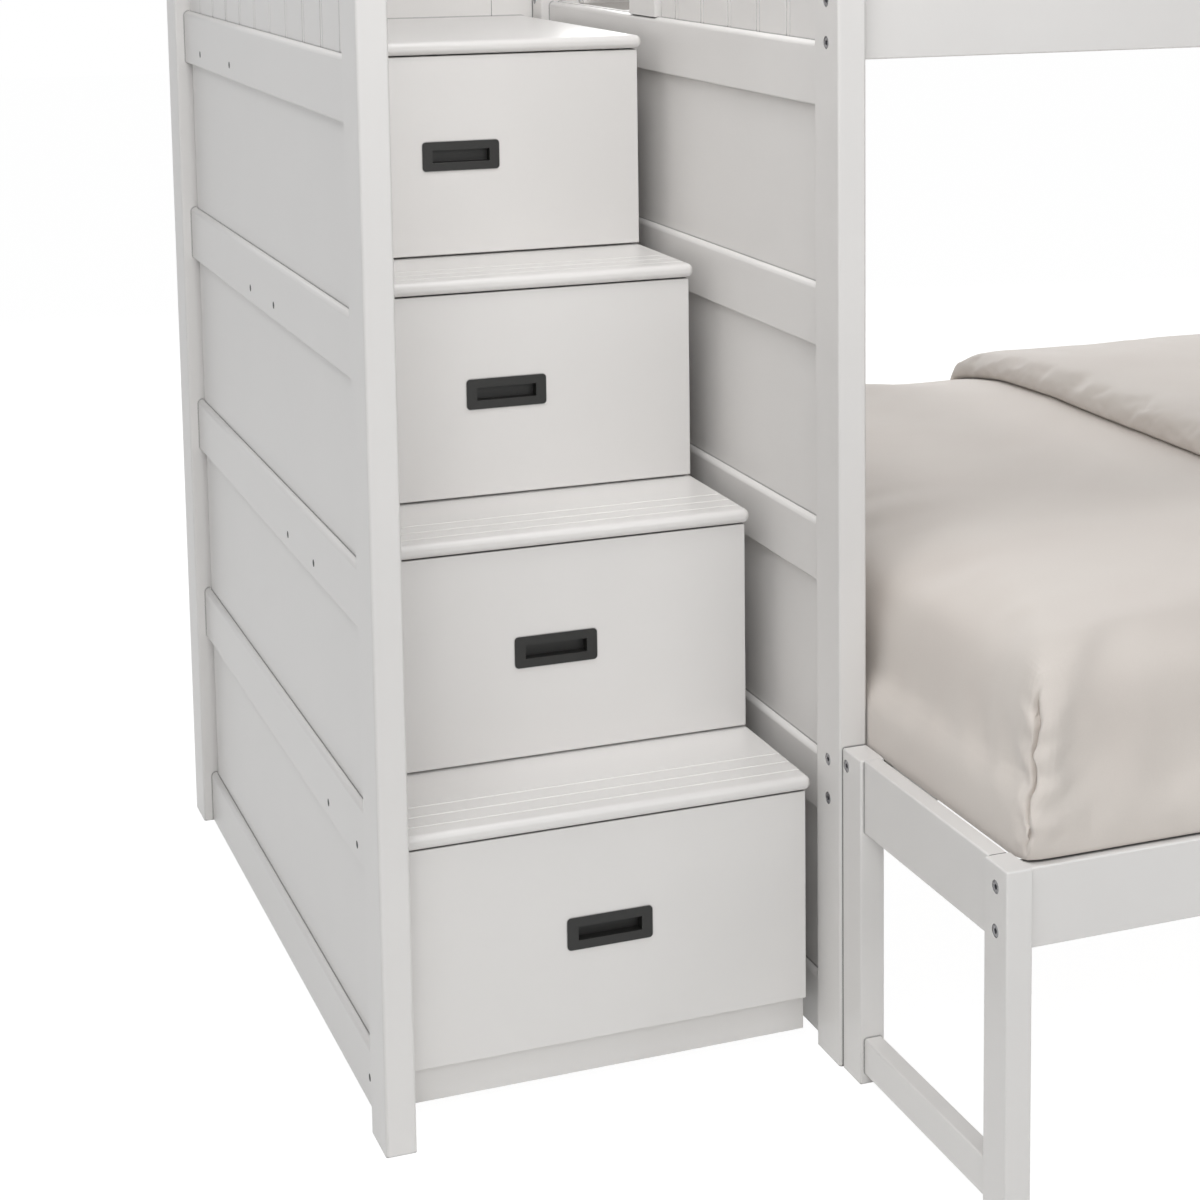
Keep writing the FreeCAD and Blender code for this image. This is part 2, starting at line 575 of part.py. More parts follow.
def outline(body, name, role, corners):
    """A closed sketch of straight lines, each corner bound to the sheet."""
    sketch = body.newObject("Sketcher::SketchObject", name)
    sketch.AttachmentSupport = [(plane_of(body, role), "")]
    sketch.MapMode = "FlatFace"
    count = len(corners)
    rough = [FreeCAD.Vector(number + 1, number % 2 + 1, 0) for number in range(count)]
    for number in range(count):
        sketch.addGeometry(Part.LineSegment(rough[number], rough[(number + 1) % count]), False)
    for number in range(count):
        sketch.addConstraint(Sketcher.Constraint("Coincident", number, 2, (number + 1) % count, 1))
    for number, (across, up) in enumerate(corners):
        for kind, text, start in (("DistanceX", across, rough[number].x), ("DistanceY", up, rough[number].y)):
            added = sketch.addConstraint(Sketcher.Constraint(kind, -1, 1, number, 1, start))
            sketch.setExpression(f"Constraints[{added}]", bound(text))
    return sketch


def side_corners():
    """The stepped side seen from the stairs' end: its front climbs with the steps and is housed
    for each tread below the top one. Distances run from the front plane of the stairs and the floor."""
    corners = [("front_thick + board_gap + plinth_thick", "base_clear"),
               ("front_thick + board_gap + plinth_thick", "base_clear + plinth_tall"),
               ("front_thick + board_gap", "base_clear + plinth_tall")]
    for step in STEPS:
        face = f"{step} * going + front_thick + board_gap"
        if step > 0:
            corners.append((face, f"{tread_under(step - 1)} + tread_thick"))
        corners.append((face, tread_under(step)))
        if step < TOP_STEP:
            housing = f"{step} * going - nose_out + tread_depth"
            corners.append((housing, tread_under(step)))
            corners.append((housing, f"{tread_under(step)} + tread_thick"))
    back = "back_face - stair_start"
    return corners + [(back, tread_under(TOP_STEP)), (back, "base_clear")]


def side_panel(label, x, tools):
    body = doc.addObject("PartDesign::Body", label + "_body")
    sketch = outline(body, label + "_outline", "YZ_Plane", side_corners())
    pad = body.newObject("PartDesign::Pad", label + "_pad")
    pad.Profile = sketch
    pad.setExpression("Length", bound("side_board_thick"))
    sketch.Visibility = False
    place(body, x, "stair_start", "0")
    keep(label, cut(label + "_bored", body, tools) if tools else body)


def cleat(name, step, x):
    """A batten under a tread, screwed to the side panel."""
    start = f"{step_front(step)} + front_thick + board_gap + cleat_end"
    end = "back_face - cleat_end" if step == TOP_STEP else f"{step_front(step)} - nose_out + tread_depth - cleat_end"
    return slab(name, (x, start, f"{tread_under(step)} - cleat_tall"),
                ("cleat_thick", f"{end} - ({start})", "cleat_tall"))


def back_board(name, x, length):
    return slab(name, (x, "back_face", "base_clear"), (length, "back_board_thick", "back_height - base_clear"))


for step in STEPS:
    tread(step)
side_panel("left_side_panel", "board_left", screw_bores("left_side", "board_left", "side_board_thick"))
side_panel("right_side_panel", "board_right - side_board_thick", [])
left_cleats = [cleat(f"left_cleat{step}", step, "board_left + side_board_thick") for step in STEPS]
right_cleats = [cleat(f"right_cleat{step}", step, "board_right - side_board_thick - cleat_thick")
                for step in STEPS]
keep("tread_cleats", cut("cleats_bored", group("cleat_set", left_cleats + right_cleats),
                         screw_bores("cleat", "board_left + side_board_thick", "cleat_thick")))
keep("plinth", slab("plinth_board", ("board_left", "stair_start + front_thick + board_gap", "base_clear"),
                    ("board_right - (board_left)", "plinth_thick", "plinth_tall")))
keep("back_boards", group("back_board_set", [
    back_board("back_wide", "board_left", "stair_width - post_thick - back_joint"),
    back_board("back_narrow", "head - back_joint + fit_gap", "back_joint - fit_gap")]))

# Drawers ------------------------------------------------------------------------------------


def drawer_base(step):
    return f"first_base + {step} * rise"


def runner_z(step):
    return f"{drawer_base(step)} + box_lift + runner_lift"


def drawer_front(step):
    """The overlaid front board, with eased front edges and a mortise for the pull."""
    name = f"front{step}"
    board = slab(name, ("front_left_x", step_front(step), drawer_base(step)),
                 ("front_right_x - (front_left_x)", "front_thick", "front_tall"))
    eased = ease(name + "_eased", board, "front_ease",
                 lambda edge, box: edge.BoundBox.YMax < box.YMin + 1e-6)
    mortise = slab(name + "_mortise",
                   ("pull_x - cup_long / 2 - cup_wall - fit_gap", step_front(step),
                    f"{drawer_base(step)} + pull_z - cup_tall / 2 - cup_wall - fit_gap"),
                   ("cup_long + 2 * (cup_wall + fit_gap)", "front_thick",
                    "cup_tall + 2 * (cup_wall + fit_gap)"))
    keep(f"drawer_{step + 1}_front", cut(name + "_mortised", eased, [mortise]))


def drawer_box(step):
    """The glued box: four walls, a floor set up from their lower edge, and a groove along each side."""
    name = f"box{step}"
    start = f"{step_front(step)} + front_thick"
    base = f"{drawer_base(step)} + box_lift"
    width = "box_right - (box_left)"
    blank = slab(name, ("box_left", start, base), (width, "box_depth", "box_tall"))
    inner = (f"{width} - 2 * box_wall", "box_depth - 2 * box_wall")
    inside = slab(name + "_inside", ("box_left + box_wall", f"{start} + box_wall",
                                     f"{base} + box_floor_lift + box_floor"),
                  (*inner, "box_tall - box_floor_lift - box_floor"))
    under = slab(name + "_under", ("box_left + box_wall", f"{start} + box_wall", base), (*inner, "box_floor_lift"))
    groove_size = ("runner_deep + slide_gap", "box_depth - box_wall", "runner_tall + 2 * slide_gap")
    groove_z = f"{runner_z(step)} - slide_gap"
    left_groove = slab(name + "_left_groove", ("box_left", f"{start} + box_wall", groove_z), groove_size)
    right_groove = slab(name + "_right_groove",
                        ("box_right - runner_deep - slide_gap", f"{start} + box_wall", groove_z), groove_size)
    keep(f"drawer_{step + 1}_box", cut(name + "_glued", blank, [inside, under, left_groove, right_groove]))


def pull(step):
    """A pressed pull: a thin flange with round corners on the front, and a deep finger cup behind it."""
    name = f"pull{step}"
    face = f"{step_front(step)} - pull_flange"
    middle = f"{drawer_base(step)} + pull_z"
    flange = slab(name + "_flange", ("pull_x - pull_long / 2", face, f"{middle} - pull_tall / 2"),
                  ("pull_long", "pull_flange", "pull_tall"))
    flange_round = ease(name + "_corners", flange, "pull_corner", lambda edge, box: runs_along(edge, 1))
    shell = slab(name + "_shell", ("pull_x - cup_long / 2 - cup_wall", step_front(step),
                                   f"{middle} - cup_tall / 2 - cup_wall"),
                 ("cup_long + 2 * cup_wall", "cup_deep - pull_flange + cup_wall", "cup_tall + 2 * cup_wall"))
    whole = doc.addObject("Part::MultiFuse", name + "_whole")
    whole.Shapes = [flange_round, shell]
    hollow = slab(name + "_hollow", ("pull_x - cup_long / 2", face, f"{middle} - cup_tall / 2"),
                  ("cup_long", "cup_deep", "cup_tall"))
    keep(f"drawer_{step + 1}_pull", cut(name + "_cup", whole, [hollow]))


runners = []
for step in STEPS:
    drawer_front(step)
    drawer_box(step)
    pull(step)
    runner_size = ("runner_deep + box_clear", "box_depth - 2 * box_wall", "runner_tall")
    runner_y = f"{step_front(step)} + front_thick + 2 * box_wall"
    runners.append(slab(f"left_runner{step}", ("board_left + side_board_thick", runner_y, runner_z(step)),
                        runner_size))
    runners.append(slab(f"right_runner{step}", ("box_right - runner_deep", runner_y, runner_z(step)),
                        runner_size))
keep("drawer_runners", group("runner_set", runners))

# Screws -------------------------------------------------------------------------------------


def screw(name, y, z, length):
    head = rod(name + "_head", ("left + rail_face", y, z), "X", "screw_head / 2", "screw_head_tall")
    shank = rod(name + "_shank", ("left + rail_face + screw_head_tall", y, z), "X", "screw_shank / 2",
                length)
    whole = doc.addObject("Part::MultiFuse", name)
    whole.Shapes = [head, shank]
    return whole


keep("stair_screws", group("screw_set", [screw(f"screw{number}", y, z, "screw_long" if number else "base_screw_long")
                                         for number, (y, z) in enumerate(screw_places())]))

# Bedding ------------------------------------------------------------------------------------

mattress_x = "head_inner + mattress_gap"
mattress_y = "extension_rail_y + mattress_lap"
mattress = slab("mattress_block", (mattress_x, mattress_y, "bed_top + seat_gap"),
                ("mattress_length", "mattress_width", "mattress_height"))
keep("lower_mattress", ease("mattress_round", mattress, "mattress_round",
                            lambda edge, box: not upright(edge, box) and edge.BoundBox.ZMin > box.Center.z
                            or upright(edge, box)))
quilt = slab("quilt_block", (f"{mattress_x} + quilt_start", f"{mattress_y} + quilt_margin",
                             "bed_top + 2 * seat_gap + mattress_height"),
             ("quilt_long", "mattress_width - 2 * quilt_margin", "quilt_tall"))
keep("folded_quilt", ease("quilt_round", quilt, "quilt_round",
                          lambda edge, box: upright(edge, box) or edge.BoundBox.ZMin > box.Center.z))

# Check every object, then write the nodes -------------------------------------------------------

doc.recompute()
faults = [piece.Name for piece in doc.Objects if {"Invalid", "Error"} & set(piece.State)]
for piece in NODES:
    if piece.Shape.isNull() or not piece.Shape.isValid():
        faults.append(piece.Label)
if faults:
    raise RuntimeError("not sound: " + ", ".join(faults))

os.makedirs("parts", exist_ok=True)
for piece in NODES:
    piece.Shape.exportStep(f"parts/{piece.Label}.step")
print(len(NODES), "nodes written")
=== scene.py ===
import math

import bmesh
import bpy
import numpy as np
from mathutils import Matrix, Vector, noise
from mathutils.bvhtree import BVHTree


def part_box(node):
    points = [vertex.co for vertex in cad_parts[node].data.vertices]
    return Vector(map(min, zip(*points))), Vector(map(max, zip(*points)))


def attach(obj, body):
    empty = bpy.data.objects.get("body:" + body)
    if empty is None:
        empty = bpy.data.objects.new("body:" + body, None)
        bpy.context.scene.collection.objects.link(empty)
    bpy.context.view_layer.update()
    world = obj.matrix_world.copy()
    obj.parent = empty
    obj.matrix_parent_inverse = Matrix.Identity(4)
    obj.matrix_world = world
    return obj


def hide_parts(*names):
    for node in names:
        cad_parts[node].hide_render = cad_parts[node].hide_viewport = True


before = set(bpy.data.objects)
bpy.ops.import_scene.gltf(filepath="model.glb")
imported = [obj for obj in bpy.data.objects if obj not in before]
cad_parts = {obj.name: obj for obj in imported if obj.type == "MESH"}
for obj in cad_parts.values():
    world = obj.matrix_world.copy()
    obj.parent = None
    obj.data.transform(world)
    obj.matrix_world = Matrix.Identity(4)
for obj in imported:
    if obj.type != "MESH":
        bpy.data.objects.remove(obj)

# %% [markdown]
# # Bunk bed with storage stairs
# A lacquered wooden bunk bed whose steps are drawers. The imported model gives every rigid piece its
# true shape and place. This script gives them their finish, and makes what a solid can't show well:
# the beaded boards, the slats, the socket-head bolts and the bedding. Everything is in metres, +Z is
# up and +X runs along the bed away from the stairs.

scene = bpy.context.scene
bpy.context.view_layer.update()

# %% [markdown]
# ## Small helpers
# A hex colour is what a paint chart or a photograph gives. Blender mixes light in linear values, so
# one function turns the first into the second. A second one adds a node with its settings in one
# line, and the others are the steps that materials repeat: a noise, a ramp, a bump, a mix. That
# keeps each material short enough to read as a recipe.

# %% Helpers for objects, colours and shader nodes


def put(name, data):
    """A new object with this data, in the scene."""
    thing = bpy.data.objects.new(name, data)
    scene.collection.objects.link(thing)
    return thing


def linear(hex_colour):
    """An sRGB hex colour as linear red, green, blue and alpha."""
    parts = [int(hex_colour[start:start + 2], 16) / 255 for start in (1, 3, 5)]
    return [p / 12.92 if p <= 0.04045 else ((p + 0.055) / 1.055) ** 2.4 for p in parts] + [1.0]


def add_node(tree, kind, inputs=None, **settings):
    """Adds a node of any tree. Each input takes a plain value, or another node's output to link."""
    node = tree.nodes.new(kind)
    for name, value in settings.items():
        setattr(node, name, value)
    for name, value in (inputs or {}).items():
        several = isinstance(value, list) and isinstance(value[0], bpy.types.NodeSocket)
        for item in value if several else [value]:
            if isinstance(item, bpy.types.NodeSocket):
                tree.links.new(item, node.inputs[name])
            else:
                node.inputs[name].default_value = item
    return node


def add(material, kind, inputs=None, **settings):
    """Adds a shader node to a material."""
    return add_node(material.node_tree, "ShaderNode" + kind, inputs, **settings)


def new_material(name, **values):
    """A material with one Principled shader, whose sockets take the given plain values."""
    material = bpy.data.materials.new(name)
    material.use_nodes = True
    shader = material.node_tree.nodes["Principled BSDF"]
    for socket, value in values.items():
        shader.inputs[socket.replace("_", " ")].default_value = value
    return material, shader


def feed(material, node, **outputs):
    """Links outputs of other nodes to the named sockets of a node."""
    for socket, output in outputs.items():
        material.node_tree.links.new(output, node.inputs[socket.replace("_", " ")])


def stretched(material, scale):
    """Object coordinates in metres, scaled along each axis. A low number draws the pattern out."""
    place = add(material, "TexCoord").outputs["Object"]
    return add(material, "Mapping", {"Vector": place, "Scale": scale}).outputs["Vector"]


def cloudy(material, scale, detail, stretch=(1, 1, 1), **more):
    """The value of a noise texture in object coordinates. more gives its other sockets."""
    inputs = {"Vector": stretched(material, stretch), "Scale": scale, "Detail": detail, **more}
    return add(material, "TexNoise", inputs).outputs["Fac"]


def ranged(material, value, **ends):
    """A value mapped from one range to another. ends gives From_Min, From_Max, To_Min and To_Max."""
    inputs = {name.replace("_", " "): end for name, end in ends.items()}
    return add(material, "MapRange", {"Value": value, **inputs}).outputs["Result"]


def ramp(material, factor, stops):
    """A colour ramp from (place, hex colour) stops."""
    node = add(material, "ValToRGB", {"Fac": factor})
    elements = node.color_ramp.elements
    for number, (spot, colour) in enumerate(stops):
        element = elements[number] if number < len(elements) else elements.new(spot)
        element.position = spot
        element.color = linear(colour)
    return node.outputs["Color"]


def bumped(material, height, strength, distance, **more):
    """A bump from a height. more may give the Normal that it starts from."""
    inputs = {"Height": height, "Strength": strength, "Distance": distance, **more}
    return add(material, "Bump", inputs).outputs["Normal"]


def mixed(material, share, first, second, blend="MIX"):
    """Two colours mixed. Sockets 6 and 7 are the mix node's colours, and 2 is its colour output."""
    inputs = {0: share, 6: first, 7: second}
    return add(material, "Mix", inputs, data_type="RGBA", blend_type=blend).outputs[2]


def multiplied(material, colour, shade, share):
    """A colour multiplied by a shade, for the given share."""
    return mixed(material, share, colour, shade, "MULTIPLY")


# %% [markdown]
# ## Camera
# The photograph was taken from in front of the stairs, at about the height of the upper bunk, and
# its posts stay upright in the picture. What is kept of it is the lower left part of a wider
# picture, so the lens has to be shifted. Part of that is done here by turning the camera down and
# to the left instead, because the shift also moves the bed out of every other view. The numbers
# come from fitting a camera to measured corners of the bed, in a picture 1200 pixels wide.

# %% Camera
PICTURE = 1200  # pixels
SENSOR = 36  # mm
focal_pixels = 2556.8
centre_across, centre_down = 780.0, 220.0
camera_place = Vector((-1.8149, -2.7497, 1.2923))
turn, tilt, lean = math.radians(22.775), math.radians(7.839), math.radians(0.297)

ahead = Vector((math.sin(turn) * math.cos(tilt), math.cos(turn) * math.cos(tilt), -math.sin(tilt)))
level_right = Vector((math.cos(turn), -math.sin(turn), 0))
right = Matrix.Rotation(lean, 3, ahead) @ level_right
up = right.cross(ahead)

camera_data = bpy.data.cameras.new("photo_camera")
camera_data.sensor_width = SENSOR
camera_data.lens = focal_pixels / PICTURE * SENSOR
camera_data.shift_x = (PICTURE / 2 - centre_across) / PICTURE
camera_data.shift_y = (centre_down - PICTURE / 2) / PICTURE
camera_data.dof.use_dof = False
camera = put("photo_camera", camera_data)
camera_turn = Matrix((right, up, -ahead)).transposed().to_4x4()
camera.matrix_world = Matrix.Translation(camera_place) @ camera_turn
scene.camera = camera
scene.view_settings.view_transform = "Standard"
print("lens", round(camera_data.lens, 1), "mm, shift", round(camera_data.shift_x, 3),
      round(camera_data.shift_y, 3))

# %% [markdown]
# ## Floor and light
# A pale floor and soft boxes, as in a furniture studio. Two boxes stand in front, on either side of
# the lens, and two high ones to the left model the faces that turn that way. A small one hangs over
# the stairs, because the end panels shade them from every other side. One behind lights the bedding
# through the open rear side. Through Light Path the camera, and whatever reflects, sees floor and
# world close to white. As a source of light on the bed both are dimmer than that.

# %% Floor, world and lights
WORLD_LIGHT = 0.20  # strength of the world as a light
FLOOR_LIFT = 0.86  # share of the floor that the camera sees as white
FLOOR_WHITE = 1.12  # strength of that white
FLOOR_HALF = 14  # half the side of the floor, in metres
FLOOR_SINK = 0.0005  # the floor lies this much below the feet


def seen_directly(tree):
    """1 for rays from the camera, from gloss and through glass, and 0 for rays that carry light."""
    rays = add_node(tree, "ShaderNodeLightPath").outputs
    either = add_node(tree, "ShaderNodeMath", {0: rays["Is Camera Ray"], 1: rays["Is Glossy Ray"]},
                      operation="MAXIMUM")
    return add_node(tree, "ShaderNodeMath", {0: either.outputs[0], 1: rays["Is Transmission Ray"]},
                    operation="MAXIMUM").outputs[0]


def studio_world():
    world = bpy.data.worlds.new("studio")
    world.use_nodes = True
    tree = world.node_tree
    tree.nodes.clear()
    lit = add_node(tree, "ShaderNodeBackground", {"Color": linear("#F4F6FA"), "Strength": WORLD_LIGHT})
    seen = add_node(tree, "ShaderNodeBackground", {"Color": (1, 1, 1, 1), "Strength": 1.0})
    choose = add_node(tree, "ShaderNodeMixShader", {"Fac": seen_directly(tree), 1: lit.outputs[0],
                                                    2: seen.outputs[0]})
    add_node(tree, "ShaderNodeOutputWorld", {"Surface": choose.outputs[0]})
    scene.world = world


def studio_floor():
    """A wide floor whose own colour is nearly white, lifted to white for the camera alone."""
    material, shader = new_material("studio_floor", Roughness=0.9)
    shader.inputs["Base Color"].default_value = linear("#F2F2F0")
    seen = seen_directly(material.node_tree)
    lift = add(material, "Math", {0: seen, 1: FLOOR_LIFT}, operation="MULTIPLY")
    white = add(material, "Emission", {"Color": (1, 1, 1, 1), "Strength": FLOOR_WHITE})
    mix = add(material, "MixShader", {"Fac": lift.outputs[0], 1: shader.outputs[0], 2: white.outputs[0]})
    feed(material, material.node_tree.nodes["Material Output"], Surface=mix.outputs[0])
    mesh = bpy.data.meshes.new("studio_floor")
    corners = [(x * FLOOR_HALF, y * FLOOR_HALF, 0) for x, y in ((-1, -1), (1, -1), (1, 1), (-1, 1))]
    mesh.from_pydata(corners, [], [(0, 1, 2, 3)])
    mesh.materials.append(material)
    floor = put("studio_floor", mesh)
    floor.location.z = -FLOOR_SINK


def soft_box(name, place, target, size, power):
    """A square area lamp at a place, aimed at a target."""
    data = bpy.data.lights.new(name, "AREA")
    data.shape = "SQUARE"
    data.size = size
    data.energy = power
    lamp = put(name, data)
    lamp.location = place
    lamp.rotation_euler = (Vector(target) - Vector(place)).to_track_quat("-Z", "Y").to_euler()


studio_world()
studio_floor()
bed_middle = (0, 0, 0.7)
soft_box("front_box", (-2.0, -3.8, 2.0), bed_middle, 1.6, 33)
soft_box("right_box", (0.3, -3.9, 2.0), bed_middle, 1.6, 25)
soft_box("left_box", (-2.3, -2.2, 3.0), bed_middle, 1.4, 22)
soft_box("side_box", (-2.5, 0.3, 3.2), bed_middle, 1.4, 15)
soft_box("stair_box", (-1.15, -0.6, 2.6), (-0.8, 0.1, 0.6), 0.6, 15)
soft_box("rear_box", (0.8, 3.6, 2.2), bed_middle, 2.6, 110)
print(len(bpy.data.lights), "soft boxes, a floor and a world")

# %% [markdown]
# ## Finishes
# The wood is sprayed with white semi-gloss lacquer. Sprayed lacquer is never glass-flat: it has a
# faint orange peel a millimetre or two across, and open grain still tells through it along the
# board. So the grain axis is a choice of each material, one for posts, one for rails that run to
# the wall, and one for those that run along the bed. Ambient occlusion over a few millimetres paints
# shade into the colour, as a dark hairline in joints, grooves and inner corners. In the grooves of
# the treads it paints a highlight instead, and they turn a little whiter.

# %% White lacquer
OCCLUSION_REACH = 0.003  # how far ambient occlusion looks for the hollows in which it paints shade or a highlight
GRAIN_ACROSS = 90.0  # waves of the grain in a metre across the board
GRAIN_ALONG = 2.5  # and along it


def white_lacquer(name, along, toned=False, groove_highlight=False):
    """Sprayed white lacquer over wood whose grain runs along axis 0, 1 or 2. toned takes up the
    tone of each board. Ambient occlusion paints shade into the colour of hollows and joints, and
    groove_highlight paints a highlight into them instead."""
    material, shader = new_material(name, Roughness=0.34, IOR=1.5)
    grain_scale = [GRAIN_ACROSS] * 3
    grain_scale[along] = GRAIN_ALONG
    grain = cloudy(material, 1.0, 4.0, grain_scale, Roughness=0.6)
    peel = cloudy(material, 520.0, 1.0)
    cloud = cloudy(material, 3.0, 3.0)
    colour = ramp(material, cloud, [(0.3, "#DFDDDB"), (0.7, "#E4E2E0")])
    if toned:
        tone = add(material, "Attribute", attribute_name="tone").outputs["Fac"]
        shade = ranged(material, tone, From_Min=-1.0, To_Min=0.95)
        colour = multiplied(material, colour, shade, 1.0)
    near = add(material, "AmbientOcclusion", {"Distance": OCCLUSION_REACH}, samples=8).outputs["AO"]
    if groove_highlight:
        # painted highlight: the colour turns whiter in the grooves of the treads
        painted_groove_highlight = ranged(material, near, From_Min=0.95, From_Max=0.75)
        colour = mixed(material, painted_groove_highlight, colour, linear("#F4F3F1"))
    else:
        # painted shade: the colour darkens in the joints, grooves and inner corners that ambient occlusion
        # finds
        painted_joint_shade = ranged(material, near, From_Min=0.42, From_Max=0.86, To_Min=0.22, To_Max=1.0)
        colour = multiplied(material, colour, painted_joint_shade, 1.0)
    fine = bumped(material, peel, 0.10, 0.0004)
    feed(material, shader, Base_Color=colour, Roughness=ranged(material, cloud, To_Min=0.30, To_Max=0.38),
         Normal=bumped(material, grain, 0.03, 0.0005, Normal=fine))
    return material


# %% [markdown]
# Cleats and runners are planed pine and stay bare. Pine shows straight yellow-brown year lines a few
# millimetres apart, which a noise drawn out along the board gives. Drawer boxes are paler sealed
# plywood. What shows of the bunk through the opening at the top step is white, so the slats and the
# ledgers that carry them are painted.

# %% Bare pine and drawer plywood
LINES_ALONG = 1.2  # waves of the year lines in a metre along the board


def bare_wood(name, along, light, dark, ring):
    """Planed wood. light and dark are its early and late wood, ring the width of a year line."""
    material, shader = new_material(name, Roughness=0.55, IOR=1.5)
    line_scale = [1.0 / ring] * 3
    line_scale[along] = LINES_ALONG
    lines = cloudy(material, 1.0, 5.0, line_scale, Roughness=0.62, Distortion=0.4)
    colour = ramp(material, lines, [(0.35, light), (0.62, dark)])
    feed(material, shader, Base_Color=colour, Normal=bumped(material, lines, 0.15, 0.0005))
    return material


# %% [markdown]
# The pulls are pressed steel with a matte black powder coat. A powder coat is baked from grains, so
# it has a fine even pebble. The bolts are zinc plated: a metal with a soft, slightly patchy shine.
# The screws of the stairs are blackened steel, and show as dark dots on the white rails.

# %% Black powder coat, black oxide and zinc plating


def black_powder_coat():
    material, shader = new_material("matte_black_powder_coat", Roughness=0.48, IOR=1.5)
    pebble = cloudy(material, 2600.0, 2.0)
    colour = ramp(material, pebble, [(0.3, "#191918"), (0.7, "#21211F")])
    feed(material, shader, Base_Color=colour, Normal=bumped(material, pebble, 0.25, 0.0002))
    return material


def black_oxide():
    """Screws blackened in a hot bath: dark, slightly oily steel with a worn, uneven shine."""
    material, shader = new_material("black_oxide_steel", Metallic=0.6, IOR=1.6)
    worn = cloudy(material, 900.0, 2.0)
    colour = ramp(material, worn, [(0.3, "#121212"), (0.7, "#1E1E1D")])
    feed(material, shader, Base_Color=colour, Roughness=ranged(material, worn, To_Min=0.45, To_Max=0.65))
    return material


def zinc_plate():
    material, shader = new_material("zinc_plated_steel", Metallic=1.0, IOR=2.5)
    patches = cloudy(material, 400.0, 3.0)
    colour = ramp(material, patches, [(0.3, "#96969A"), (0.7, "#B0B1B4")])
    rough = ranged(material, patches, To_Min=0.28, To_Max=0.45)
    feed(material, shader, Base_Color=colour, Roughness=rough)
    return material


# %% [markdown]
# The bedding is plain-weave cotton, in a warm grey beige. A thread is a fraction of a millimetre, so
# at this distance the weave shows only as a fine tooth and a soft sheen at grazing angles, and a
# slow mottling where the cloth was pressed.

# %% Cotton cloth


def cotton():
    material, shader = new_material("beige_cotton", Roughness=0.85, Sheen_Weight=0.25, Sheen_Roughness=0.5)
    mottle = cloudy(material, 7.0, 4.0)
    thread = cloudy(material, 1400.0, 2.0)
    base = ramp(material, mottle, [(0.3, "#D8D0C9"), (0.7, "#DBD4CD")])
    feed(material, shader, Base_Color=multiplied(material, base, thread, 0.10),
         Normal=bumped(material, thread, 0.3, 0.0003))
    return material


# %% [markdown]
# ## Finishes onto the solids
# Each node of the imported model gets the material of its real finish. A sawn and lacquered edge is
# never razor sharp, and a thin line of light along it is what makes painted wood look solid. So the
# lacquered nodes also get a small bevel, after a weld that joins the vertices the file keeps apart.

# %% Assign materials and soften edges
WELD = 0.00002  # vertices nearer than this are one
BOARD_EDGE = 0.0010  # rounding of a lacquered edge
TREAD_EDGE = 0.0003  # smaller, so that the grooves of the treads stay open
SHARP = math.radians(50)  # only edges sharper than this are rounded
lacquer_upright = white_lacquer("white_lacquer_upright", 2)
lacquer_deep = white_lacquer("white_lacquer_deep", 1)
lacquer_long = white_lacquer("white_lacquer_long", 0)
lacquer_tread = white_lacquer("white_lacquer_tread", 0, groove_highlight=True)
painted_slat = white_lacquer("white_painted_slat", 1, toned=True)
pine_deep = bare_wood("bare_pine_deep", 1, "#E2C397", "#CDA671", 0.006)
plywood = bare_wood("sealed_plywood", 1, "#E6D4B5", "#D8C19B", 0.004)
black = black_powder_coat()
oxide = black_oxide()
zinc = zinc_plate()
cloth = cotton()

FINISHES = (
    (lacquer_upright, ("_post", "_beadboard", "_panels", "entry_stile", "_leg", "_side_panel",
                       "back_boards", "leg_frame")),
    (lacquer_deep, ("_rails", "_end_rail", "_stretcher")),
    (lacquer_long, ("_rail", "_guard", "plinth", "_front", "slat_ledgers")),
    (lacquer_tread, ("tread_1", "tread_2", "tread_3", "tread_4")),
    (painted_slat, ("_slats",)),
    (pine_deep, ("tread_cleats", "drawer_runners")),
    (plywood, ("_box",)),
    (black, ("_pull",)),
    (oxide, ("stair_screws",)),
    (zinc, ("bolts_and_nuts", "extension_brackets")),
    (cloth, ("lower_mattress", "folded_quilt")),
)


def finish_of(node):
    """The material of a node, from the first row with an ending of its name."""
    for material, endings in FINISHES:
        if any(node.endswith(ending) for ending in endings):
            return material
    raise ValueError("no finish for " + node)


def soften(piece, width):
    """Welds split vertices and rounds the hard edges by width, in metres."""
    weld = piece.modifiers.new("weld", "WELD")
    weld.merge_threshold = WELD
    bevel = piece.modifiers.new("edge", "BEVEL")
    bevel.width = width
    bevel.segments = 2
    bevel.limit_method = "ANGLE"
    bevel.angle_limit = SHARP
    bevel.use_clamp_overlap = True


for name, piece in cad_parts.items():
    material = finish_of(name)
    for slot in piece.material_slots:
        slot.material = material
    if material in (lacquer_upright, lacquer_deep, lacquer_long):
        soften(piece, BOARD_EDGE)
    elif material == lacquer_tread:
        soften(piece, TREAD_EDGE)
print(len(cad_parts), "nodes have their finish")

# %% [markdown]
# ## Pieces grown from rules
# What repeats is made by Geometry Nodes. Each tree is built here in the script with named inputs,
# so that a reader can change a number and see the whole row follow. `run_tree` runs a tree on an
# empty mesh or on a few points, and keeps its result as a plain mesh.

# %% Helpers for Geometry Nodes
INPUT_KINDS = {float: "NodeSocketFloat", int: "NodeSocketInt", tuple: "NodeSocketVector"}
TOUCH = 0.00001  # points nearer than this are merged


